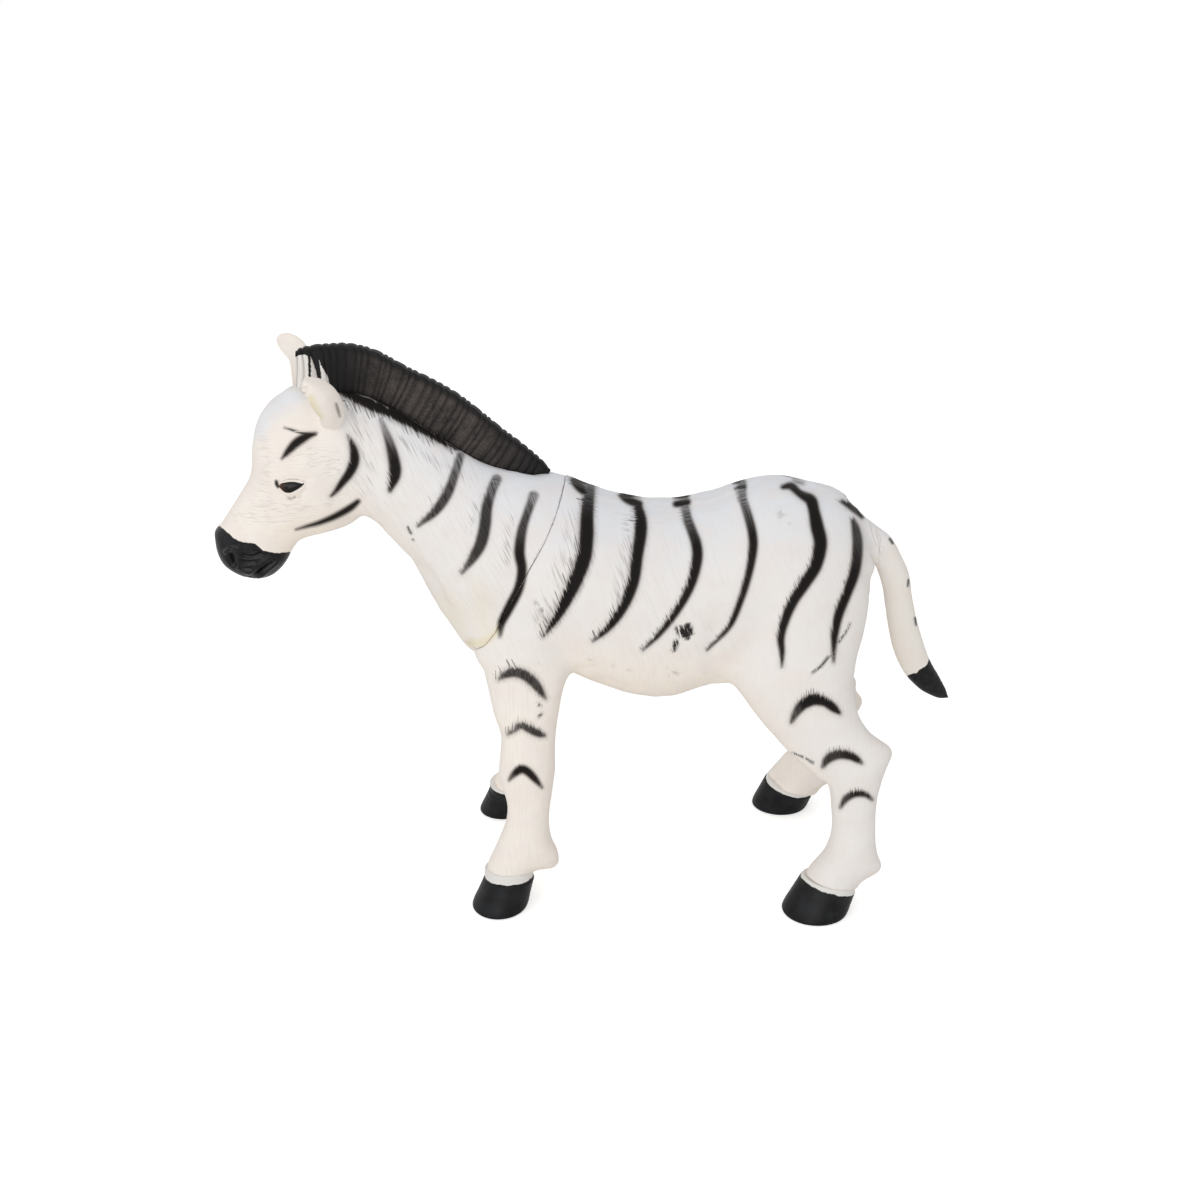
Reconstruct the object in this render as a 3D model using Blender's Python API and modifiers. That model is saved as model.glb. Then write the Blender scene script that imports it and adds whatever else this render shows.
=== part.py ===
"""Toy zebra foal: a soft vinyl skin in two mouldings glued at the neck, stuffed, on four plugged-in hooves.

Metres, +Z up. The nose points to -X and the animal's left side to -Y. The origin is at the middle of the
foot of the figure's bounding box, on the floor that the hooves stand on.
"""

import math
from collections import namedtuple

import bmesh
import bpy
from mathutils import Matrix, Vector

# Body
TORSO_LENGTH = 0.138
TORSO_DEPTH = 0.072
TORSO_WIDTH = 0.057
BACK_HEIGHT = 0.143

# Neck and head
NECK_LENGTH = 0.081
NECK_DEPTH = 0.048
NECK_WIDTH = 0.038
NECK_RISE = math.radians(37.5)
HEAD_LENGTH = 0.0695
HEAD_DEPTH = 0.0418
HEAD_WIDTH = 0.032
HEAD_DROP = math.radians(60.0)

# Legs: the tracks are from the middle of one sole to the middle of the other
FRONT_TRACK = 0.0648
HIND_TRACK = 0.0726
FRONT_LEG_THICKNESS = 0.019
HIND_LEG_THICKNESS = 0.021

# Hooves
FRONT_HOOF_LENGTH = 0.0194
FRONT_HOOF_WIDTH = 0.0180
HIND_HOOF_LENGTH = 0.0232
HIND_HOOF_WIDTH = 0.0192
HOOF_HEIGHT = 0.0100
COLLAR_HEIGHT = 0.0030
HOOF_SPLAY = math.radians(8.0)
HIND_HOOF_PITCH = math.radians(22.0)
SOLE_ROUNDING = 0.0005
SPIGOT_RADIUS = 0.0042
SPIGOT_LENGTH = 0.0060

# Mane, ears, eyes and tail
MANE_HEIGHT = 0.0145
MANE_THICKNESS = 0.0060
MANE_SEAT = 0.0022
EAR_LENGTH = 0.0238
EAR_WIDTH = 0.0142
EAR_THICKNESS = 0.0040
EAR_CUP = 0.0020
EYE_LENGTH = 0.0084
EYE_HEIGHT = 0.0044
EYE_BULGE = 0.0050
TAIL_DROP = 0.068
TAIL_THICKNESS = 0.0104
TAIL_WIDTH = 0.0084

# Construction
WALL = 0.0022
SLEEVE_WALL = 0.0015
SLEEVE_LENGTH = 0.0060
CLEARANCE = 0.0003
OVERRUN = 0.0080
LEAST_HOLLOW = 0.0060
SKIN_GRAIN = 0.0016
SKIN_SMOOTHING = 5
SKIN_TRIANGLES = 6400
FORM_SIDES = 24
HOLLOW_SIDES = 16
TRIM_SIDES = 14
SHARP_EDGE = math.radians(40.0)

# Finishes: name, colour and roughness
VINYL = ("soft_vinyl", (0.85, 0.81, 0.77), 0.55)
BLACK_VINYL = ("black_painted_vinyl", (0.020, 0.018, 0.017), 0.45)
HOOF_VINYL = ("hoof_vinyl", (0.022, 0.022, 0.025), 0.35)
EYE_GLOSS = ("eye_gloss", (0.012, 0.009, 0.008), 0.08)
FILLING = ("polyester_filling", (0.80, 0.80, 0.78), 0.95)

# Places on the torso: along from the chest, height of the middle, half depth, half width
TORSO_SHARES = (
    (0.005, 0.680, 0.130, 0.180),
    (0.055, 0.712, 0.280, 0.340),
    (0.150, 0.775, 0.440, 0.450),
    (0.265, 0.795, 0.490, 0.480),
    (0.395, 0.752, 0.495, 0.500),
    (0.535, 0.744, 0.500, 0.505),
    (0.665, 0.780, 0.495, 0.485),
    (0.785, 0.819, 0.465, 0.460),
    (0.895, 0.834, 0.400, 0.410),
    (0.970, 0.834, 0.300, 0.320),
    (1.010, 0.834, 0.150, 0.160),
)
# Places on the neck: along its axis, off it towards the crest, half depth, half width
NECK_SHARES = (
    (-0.240, -0.060, 0.600, 0.560),
    (0.000, 0.000, 0.730, 0.640),
    (0.197, -0.035, 0.656, 0.580),
    (0.390, -0.005, 0.495, 0.480),
    (0.565, 0.010, 0.452, 0.420),
    (0.746, 0.000, 0.442, 0.390),
    (0.890, -0.020, 0.430, 0.380),
    (1.000, -0.020, 0.360, 0.330),
    (1.060, -0.020, 0.240, 0.230),
)
# Places on the head: along from the crown to the lips, off the axis towards the face, half depth, half width
HEAD_SHARES = (
    (-0.030, 0.030, 0.220, 0.260),
    (0.000, 0.036, 0.300, 0.330),
    (0.115, 0.012, 0.400, 0.440),
    (0.216, -0.048, 0.478, 0.485),
    (0.317, -0.110, 0.500, 0.500),
    (0.417, -0.153, 0.469, 0.485),
    (0.518, -0.134, 0.416, 0.420),
    (0.619, -0.060, 0.347, 0.345),
    (0.691, 0.002, 0.294, 0.300),
    (0.791, 0.026, 0.294, 0.290),
    (0.878, 0.017, 0.270, 0.297),
    (0.950, 0.007, 0.210, 0.235),
    (0.993, 0.007, 0.103, 0.125),
)
# Places on a front leg: height from its joint with the hoof to the back, along from the chest, out from the
# middle, half thickness and half width
FRONT_LEG_SHARES = (
    (0.747, 0.165, 0.42, 0.84, 0.50),
    (0.659, 0.148, 0.52, 0.87, 0.53),
    (0.545, 0.139, 0.63, 0.70, 0.48),
    (0.476, 0.143, 0.70, 0.60, 0.45),
    (0.416, 0.147, 0.75, 0.52, 0.42),
    (0.378, 0.150, 0.78, 0.485, 0.42),
    (0.324, 0.149, 0.82, 0.50, 0.43),
    (0.230, 0.150, 0.86, 0.432, 0.37),
    (0.192, 0.149, 0.88, 0.400, 0.35),
    (0.150, 0.144, 0.895, 0.415, 0.36),
    (0.092, 0.139, 0.91, 0.530, 0.43),
    (0.054, 0.134, 0.92, 0.580, 0.46),
)
# Places on a hind leg
HIND_LEG_SHARES = (
    (0.808, 0.812, 0.36, 1.14, 0.66),
    (0.659, 0.822, 0.47, 1.05, 0.64),
    (0.576, 0.828, 0.55, 1.01, 0.60),
    (0.507, 0.866, 0.61, 0.82, 0.52),
    (0.439, 0.893, 0.67, 0.64, 0.45),
    (0.384, 0.938, 0.72, 0.590, 0.41),
    (0.335, 0.982, 0.77, 0.580, 0.39),
    (0.285, 0.990, 0.80, 0.480, 0.365),
    (0.238, 0.989, 0.82, 0.425, 0.34),
    (0.192, 0.988, 0.85, 0.376, 0.315),
    (0.138, 0.989, 0.88, 0.360, 0.305),
    (0.108, 0.989, 0.90, 0.395, 0.335),
    (0.073, 0.980, 0.915, 0.470, 0.395),
)
# Where the middle of each sole and of its coronet lies along the torso
FRONT_SOLE_SHARE = 0.068
FRONT_CORONET_SHARE = 0.091
HIND_SOLE_SHARE = 0.896
HIND_CORONET_SHARE = 0.921
# How far forward of the left ones the right feet stand, along the torso
FRONT_STEP_SHARE = 0.010
HIND_STEP_SHARE = 0.022
# How much of the sole's size and of its distance out the coronet keeps
CORONET_SIZE_SHARE = 0.92
CORONET_OUT_SHARE = 0.945

# The glued seam runs from the withers to the chest: along the torso, height
WITHERS_SHARES = (0.256, 1.063)
CHEST_SHARES = (-0.008, 0.643)
# The neck's axis starts inside the shoulders, and the crown lies just past its other end
NECK_FOOT_SHARES = (0.130, 0.846)
CROWN_SHARES = (1.040, 0.096)

# Places on the mane, from the withers to the forelock: its foot along and off the neck's axis, then how far
# its edge leans forward and stands up
MANE_SHARES = (
    (0.185, 0.630, -0.10, 0.16),
    (0.272, 0.545, -0.07, 0.52),
    (0.395, 0.485, -0.03, 0.74),
    (0.523, 0.450, 0.04, 0.94),
    (0.642, 0.435, 0.21, 0.95),
    (0.746, 0.420, 0.34, 0.88),
    (0.864, 0.395, 0.38, 0.89),
    (0.963, 0.350, 0.45, 0.83),
    (1.062, 0.280, 0.45, 0.75),
    (1.140, 0.185, 0.43, 0.62),
    (1.185, 0.125, 0.36, 0.54),
)
# How far up the mane's side, and its half thickness there
MANE_SIDE_SHARES = ((0.00, 0.50), (0.40, 0.48), (0.88, 0.40), (1.00, 0.22))
# Places on the tail: out behind its root, down from it, half thickness, half width
TAIL_SHARES = (
    (-0.130, -0.045, 0.34, 0.38),
    (-0.060, -0.028, 0.38, 0.42),
    (0.010, 0.010, 0.42, 0.44),
    (0.110, 0.130, 0.46, 0.48),
    (0.160, 0.243, 0.48, 0.50),
    (0.213, 0.338, 0.49, 0.50),
    (0.246, 0.488, 0.50, 0.49),
    (0.279, 0.610, 0.50, 0.48),
    (0.335, 0.757, 0.51, 0.46),
    (0.394, 0.875, 0.49, 0.40),
    (0.449, 0.949, 0.38, 0.28),
    (0.544, 0.994, 0.06, 0.06),
)
TAIL_ROOT_SHARES = (0.986, 0.944)
# Places on an ear: along it, half width, half thickness, cupping
EAR_SHARES = (
    (-0.16, 0.26, 0.56, 0.0),
    (0.00, 0.32, 0.60, 0.1),
    (0.22, 0.43, 0.58, 0.5),
    (0.48, 0.50, 0.50, 0.9),
    (0.74, 0.45, 0.42, 1.0),
    (0.92, 0.30, 0.34, 0.8),
    (1.00, 0.12, 0.25, 0.6),
)
# Where each ear stands on the head: along it, off its axis and out from the middle. The left one is bent out
# to the side, and the right one stands up and forward
LEFT_EAR_SHARES = (-0.040, -0.110, 0.330)
LEFT_EAR_WAY = Vector((-0.14, -0.80, 0.58))
RIGHT_EAR_SHARES = (-0.050, 0.030, 0.300)
RIGHT_EAR_WAY = Vector((-0.72, 0.30, 0.72))
# Where an eye sits: along the head, off its axis and out from the middle
EYE_SHARES = (0.374, -0.080, 0.465)

Ring = namedtuple("Ring", "middle fore side across normal cup", defaults=(None, 0.0))


def clear_scene():
    for thing in list(bpy.data.objects):
        bpy.data.objects.remove(thing)


def collection(name):
    group = bpy.data.collections.new(name)
    bpy.context.scene.collection.children.link(group)
    return group


def finish(piece, finish_values):
    """Gives a piece its own material, and shades it smooth except over its sharp edges."""
    kind, colour, roughness = finish_values
    material = bpy.data.materials.new(f"{piece.name}_{kind}")
    material.use_nodes = True
    shader = material.node_tree.nodes["Principled BSDF"]
    shader.inputs["Base Color"].default_value = (*colour, 1.0)
    shader.inputs["Roughness"].default_value = roughness
    shader.inputs["Metallic"].default_value = 0.0
    piece.data.materials.clear()
    piece.data.materials.append(material)
    piece.data.shade_smooth()
    piece.data.set_sharp_from_angle(angle=SHARP_EDGE)


def on_body(along_share, height_share, out=0.0):
    """A place by its shares of the torso's length and the back's height."""
    return Vector((along_share * TORSO_LENGTH, out, height_share * BACK_HEIGHT))


def on_neck(along, off):
    """A place in the middle plane, along the neck's axis from its foot and off it towards the crest."""
    forward = Vector((-math.cos(NECK_RISE), 0.0, math.sin(NECK_RISE)))
    crestward = Vector((math.sin(NECK_RISE), 0.0, math.cos(NECK_RISE)))
    return on_body(*NECK_FOOT_SHARES) + forward * along + crestward * off


def on_head(along, off, out=0.0):
    """A place on the head, down its axis from the crown, off it towards the face and out to the right."""
    down = Vector((-math.cos(HEAD_DROP), 0.0, -math.sin(HEAD_DROP)))
    faceward = Vector((-math.sin(HEAD_DROP), 0.0, math.cos(HEAD_DROP)))
    crown = on_neck(CROWN_SHARES[0] * NECK_LENGTH, CROWN_SHARES[1] * NECK_DEPTH)
    return crown + down * along + faceward * off + Vector((0.0, out, 0.0))


def curved(values, share):
    """A value between the middle two of four, on the smooth curve through all of them."""
    a, b, c, d = values
    bend = (2 * a - 5 * b + 4 * c - d) * share**2
    twist = (3 * b - a - 3 * c + d) * share**3
    return (2 * b + (c - a) * share + bend + twist) / 2


def squared(rings):
    """The same rings, each with its normal: its own, or the line through its neighbours."""
    found = []
    for i, ring in enumerate(rings):
        along = rings[min(i + 1, len(rings) - 1)].middle - rings[max(i - 1, 0)].middle
        normal = ring.normal or along
        if normal.dot(along) < 0:
            normal = -normal
        found.append(ring._replace(normal=normal.normalized()))
    return found


def refined(rings, steps):
    """The same rings with more between them, on smooth curves."""
    rings = squared(rings)
    found = []
    last = len(rings) - 1
    for i in range(last):
        four = [rings[max(0, min(last, i + k))] for k in (-1, 0, 1, 2)]
        for step in range(steps):
            share = step / steps
            found.append(
                Ring(
                    curved([ring.middle for ring in four], share),
                    curved([ring.fore for ring in four], share),
                    curved([ring.side for ring in four], share),
                    rings[i].across,
                    curved([ring.normal for ring in four], share).normalized(),
                    curved([ring.cup for ring in four], share),
                )
            )
    return found + [rings[last]]


def grown(rings, amount):
    """The same form with its skin moved out by an amount, or in if it is negative."""
    wider = [
        ring._replace(fore=ring.fore + amount, side=ring.side + amount) for ring in squared(rings)
    ]
    first = (wider[0].middle - wider[1].middle).normalized()
    last = (wider[-1].middle - wider[-2].middle).normalized()
    wider[0] = wider[0]._replace(middle=wider[0].middle + first * amount)
    wider[-1] = wider[-1]._replace(middle=wider[-1].middle + last * amount)
    return wider


def ring_points(ring, sides):
    """The corners of one ring, square to its normal."""
    side_axis = (ring.across - ring.normal * ring.across.dot(ring.normal)).normalized()
    fore_axis = side_axis.cross(ring.normal)
    points = []
    for k in range(sides):
        turn = math.tau * (k + 0.5) / sides
        fore = ring.fore * math.cos(turn)
        side = ring.side * math.sin(turn) + ring.cup * math.cos(turn) ** 2
        points.append(ring.middle + fore_axis * fore + side_axis * side)
    return points


def new_object(name, mesh, group):
    piece = bpy.data.objects.new(name, mesh)
    group.objects.link(piece)
    return piece


def moved_to(piece, group):
    for owner in list(piece.users_collection):
        owner.objects.unlink(piece)
    group.objects.link(piece)
    return piece


def loft(name, rings, group, sides=FORM_SIDES):
    """A closed form through unlike oval sections."""
    form = bmesh.new()
    loops = [[form.verts.new(point) for point in ring_points(ring, sides)] for ring in squared(rings)]
    for near, far in zip(loops, loops[1:]):
        for k in range(sides):
            after = (k + 1) % sides
            form.faces.new((near[k], near[after], far[after], far[k]))
    form.faces.new(loops[0])
    form.faces.new(loops[-1])
    bmesh.ops.recalc_face_normals(form, faces=form.faces)
    bmesh.ops.triangulate(form, faces=form.faces, quad_method="FIXED")
    mesh = bpy.data.meshes.new(name)
    form.to_mesh(mesh)
    form.free()
    return new_object(name, mesh, group)


def settle(piece):
    """Applies a piece's modifiers."""
    bpy.context.view_layer.update()
    evaluated = piece.evaluated_get(bpy.context.evaluated_depsgraph_get())
    mesh = bpy.data.meshes.new_from_object(evaluated)
    piece.modifiers.clear()
    piece.data = mesh


def boolean(piece, tool, operation):
    modifier = piece.modifiers.new(operation.lower(), "BOOLEAN")
    modifier.operation = operation
    modifier.solver = "EXACT"
    modifier.object = tool


def joined(name, pieces, group):
    """One form of several that overlap, as a Boolean union."""
    whole = new_object(name, pieces[0].data, group)
    for other in pieces[1:]:
        boolean(whole, other, "UNION")
    settle(whole)
    for piece in pieces:
        bpy.data.objects.remove(piece)
    return whole


def moulded(name, pieces, group):
    """One smooth skin over forms that overlap, as clay laid over them."""
    both = bmesh.new()
    for piece in pieces:
        both.from_mesh(piece.data)
        bpy.data.objects.remove(piece)
    mesh = bpy.data.meshes.new(name)
    both.to_mesh(mesh)
    both.free()
    whole = new_object(name, mesh, group)
    remesh = whole.modifiers.new("skin", "REMESH")
    remesh.mode = "VOXEL"
    remesh.voxel_size = SKIN_GRAIN
    smooth = whole.modifiers.new("smooth", "SMOOTH")
    smooth.factor = 0.5
    smooth.iterations = SKIN_SMOOTHING
    settle(whole)
    thin = whole.modifiers.new("thin", "DECIMATE")
    thin.ratio = min(1.0, SKIN_TRIANGLES / (2 * len(whole.data.polygons)))
    settle(whole)
    return whole


def torso_rings():
    return [
        Ring(on_body(along, height), fore * TORSO_DEPTH, side * TORSO_WIDTH, Vector((0, 1, 0)))
        for along, height, fore, side in TORSO_SHARES
    ]


def neck_rings():
    return [
        Ring(
            on_neck(along * NECK_LENGTH, off * NECK_DEPTH),
            fore * NECK_DEPTH,
            side * NECK_WIDTH,
            Vector((0, 1, 0)),
        )
        for along, off, fore, side in NECK_SHARES
    ]


def head_rings():
    return [
        Ring(
            on_head(along * HEAD_LENGTH, off * HEAD_DEPTH),
            fore * HEAD_DEPTH,
            side * HEAD_WIDTH,
            Vector((0, 1, 0)),
        )
        for along, off, fore, side in HEAD_SHARES
    ]


def centre_over_floor(group, others):
    """Moves the figure so that the middle of its length lies at the origin."""
    bpy.context.view_layer.update()
    graph = bpy.context.evaluated_depsgraph_get()
    corners = []
    for piece in group.objects:
        mesh = piece.evaluated_get(graph).to_mesh()
        corners += [vertex.co.x for vertex in mesh.vertices]
    stand = bpy.data.objects.new("stand_point", None)
    bpy.context.scene.collection.objects.link(stand)
    for piece in (*group.objects, *others.objects):
        piece.parent = stand
    stand.location.x = -(min(corners) + max(corners)) / 2


class Foot:
    """One leg and its hoof: which end, which side, and the planes of its sole, coronet and joint."""

    def __init__(self, end, side):
        front = end == "front"
        self.name = f"{end}_{'left' if side < 0 else 'right'}"
        self.side = side
        self.half_track = side * (FRONT_TRACK if front else HIND_TRACK) / 2
        self.length = FRONT_HOOF_LENGTH if front else HIND_HOOF_LENGTH
        self.width = FRONT_HOOF_WIDTH if front else HIND_HOOF_WIDTH
        self.leg_shares = FRONT_LEG_SHARES if front else HIND_LEG_SHARES
        self.leg_thickness = FRONT_LEG_THICKNESS if front else HIND_LEG_THICKNESS
        pitch = 0.0 if front else HIND_HOOF_PITCH
        self.normal = Vector((math.sin(pitch), -side * math.sin(HOOF_SPLAY), 1.0)).normalized()
        sole_share = FRONT_SOLE_SHARE if front else HIND_SOLE_SHARE
        coronet_share = FRONT_CORONET_SHARE if front else HIND_CORONET_SHARE
        self.step_share = (FRONT_STEP_SHARE if front else HIND_STEP_SHARE) if side > 0 else 0.0
        self.sole = on_body(sole_share - self.step_share, 0.0, self.half_track)
        self.coronet = on_body(coronet_share - self.step_share, 0.0, self.half_track * CORONET_OUT_SHARE)
        self.coronet.z = HOOF_HEIGHT
        self.joint = self.coronet + self.normal * COLLAR_HEIGHT

    def ring(self, middle, fore, side, normal=None):
        return Ring(middle, fore, side, Vector((0, 1, 0)), normal or self.normal)

    def leg_rings(self):
        rings = []
        highest = self.leg_shares[0][0]
        for height, along, out, fore, side in self.leg_shares:
            stepped = along - self.step_share * (1 - height / highest)
            middle = on_body(stepped, 0.0, out * self.half_track)
            middle.z = self.joint.z + height * (BACK_HEIGHT - self.joint.z)
            rings.append(
                Ring(middle, fore * self.leg_thickness, side * self.leg_thickness, Vector((0, 1, 0)))
            )
        fore = CORONET_SIZE_SHARE * self.length / 2
        side = CORONET_SIZE_SHARE * self.width / 2
        rings.append(self.ring(self.joint, fore, side))
        rings.append(self.ring(self.coronet, fore, side))
        return rings

    def spigot_rings(self, grow):
        radius = SPIGOT_RADIUS + grow
        top = self.joint + self.normal * (SPIGOT_LENGTH + grow)
        return [self.ring(self.joint + self.normal * grow, radius, radius), self.ring(top, radius, radius)]

    def hoof_rings(self):
        fore = CORONET_SIZE_SHARE * self.length / 2
        side = CORONET_SIZE_SHARE * self.width / 2
        up = Vector((0, 0, 1))
        half_length, half_width = self.length / 2, self.width / 2
        sole = self.ring(self.sole, half_length - SOLE_ROUNDING, half_width - SOLE_ROUNDING, up)
        rim = self.ring(self.sole + up * SOLE_ROUNDING, half_length, half_width, up)
        return [
            sole,
            rim,
            self.ring(self.coronet, fore, side),
            self.ring(self.joint, fore, side),
            *self.spigot_rings(0.0),
        ]

    def joint_cutter_rings(self):
        """Clears everything below the leg's end face, and the socket for the spigot above it."""
        wide = self.length
        below = self.joint - self.normal * (HOOF_HEIGHT + COLLAR_HEIGHT + OVERRUN)
        face = self.joint + self.normal * CLEARANCE
        return [
            self.ring(below, wide, wide),
            self.ring(face, wide, wide),
            *self.spigot_rings(CLEARANCE),
        ]


def seam_frame():
    """A matrix whose origin is the middle of the neck seam and whose +X points into the body."""
    withers = on_body(*WITHERS_SHARES)
    chest = on_body(*CHEST_SHARES)
    up = (withers - chest).normalized()
    across = Vector((0, 1, 0))
    inward = across.cross(up)
    turned = Matrix((inward, across, up)).transposed().to_4x4()
    return Matrix.Translation((withers + chest) / 2) @ turned


def half_space(name, start, end, group):
    """A block that fills what lies between two distances from the neck seam, into the body."""
    reach = 2 * (TORSO_LENGTH + NECK_LENGTH + HEAD_LENGTH)
    bpy.ops.mesh.primitive_cube_add(size=1)
    block = bpy.context.active_object
    block.name = name
    size = Matrix.Diagonal((end - start, reach, reach, 1.0))
    middle = Matrix.Translation((((start + end) / 2), 0.0, 0.0))
    block.data.transform(seam_frame() @ middle @ size)
    return moved_to(block, group)


def hollow(name, inset, group):
    """What lies within the skin of the torso, neck and head, an inset from its outside."""
    forms = []
    for label, rings in (("torso", torso_rings()), ("neck", neck_rings()), ("head", head_rings())):
        roomy = [ring for ring in rings if min(ring.fore, ring.side) > LEAST_HOLLOW]
        forms.append(loft(f"{name}_{label}", grown(roomy, -inset), group, HOLLOW_SIDES))
    return joined(name, forms, group)


def mane_form(name, grow, group):
    """The mane's crest: a tapering strip whose foot follows the neck. Growing it gives its slot."""
    forward = on_neck(NECK_LENGTH, 0.0) - on_neck(0.0, 0.0)
    forward.normalize()
    crestward = on_neck(0.0, NECK_DEPTH) - on_neck(0.0, 0.0)
    crestward.normalize()
    form = bmesh.new()
    loops = []
    last = len(MANE_SHARES) - 1
    for i, (along, off, lean, rise) in enumerate(MANE_SHARES):
        beyond = 2 * grow * (1 if i == last else -1 if i == 0 else 0)
        foot = on_neck(along * NECK_LENGTH + beyond, off * NECK_DEPTH - MANE_SEAT - 2 * grow)
        edge = forward * (lean * MANE_HEIGHT) + crestward * (rise * MANE_HEIGHT + MANE_SEAT + 3 * grow)
        sides = []
        for up, half in MANE_SIDE_SHARES:
            out = Vector((0.0, half * MANE_THICKNESS + grow, 0.0))
            sides.append((foot + edge * up - out, foot + edge * up + out))
        corners = [left for left, right in sides] + [right for left, right in reversed(sides)]
        loops.append([form.verts.new(corner) for corner in corners])
    count = len(loops[0])
    for near, far in zip(loops, loops[1:]):
        for k in range(count):
            after = (k + 1) % count
            form.faces.new((near[k], near[after], far[after], far[k]))
    form.faces.new(loops[0])
    form.faces.new(loops[-1])
    bmesh.ops.recalc_face_normals(form, faces=form.faces)
    mesh = bpy.data.meshes.new(name)
    form.to_mesh(mesh)
    form.free()
    return new_object(name, mesh, group)


def ear_rings(side, root_shares, way):
    along, off, out = root_shares
    root = on_head(along * HEAD_LENGTH, off * HEAD_DEPTH, side * out * HEAD_WIDTH)
    way = way.normalized()
    return [
        Ring(
            root + way * (along * EAR_LENGTH),
            half_width * EAR_WIDTH,
            half_thickness * EAR_THICKNESS,
            Vector((1, 0, 0)),
            way,
            -cup * EAR_CUP,
        )
        for along, half_width, half_thickness, cup in EAR_SHARES
    ]


def tail_rings():
    root = on_body(*TAIL_ROOT_SHARES)
    return [
        Ring(
            root + Vector((out * TAIL_DROP, 0.0, -down * TAIL_DROP)),
            fore * TAIL_THICKNESS,
            side * TAIL_WIDTH,
            Vector((0, 1, 0)),
        )
        for out, down, fore, side in TAIL_SHARES
    ]


def eye_form(name, side, grow, group):
    """A lens-shaped bead lying along the head, half of it in the skin."""
    along, off, out = EYE_SHARES
    middle = on_head(along * HEAD_LENGTH, off * HEAD_DEPTH, side * out * HEAD_WIDTH)
    bpy.ops.mesh.primitive_uv_sphere_add(segments=TRIM_SIDES, ring_count=TRIM_SIDES // 2, radius=1)
    bead = bpy.context.active_object
    bead.name = name
    halves = (EYE_LENGTH / 2 + grow, EYE_BULGE / 2 + grow, EYE_HEIGHT / 2 + grow, 1.0)
    bead.data.transform(Matrix.Translation(middle) @ Matrix.Diagonal(halves))
    return moved_to(bead, group)


def make_cutter(piece):
    piece.hide_render = True
    piece.display_type = "WIRE"
    return piece


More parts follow.
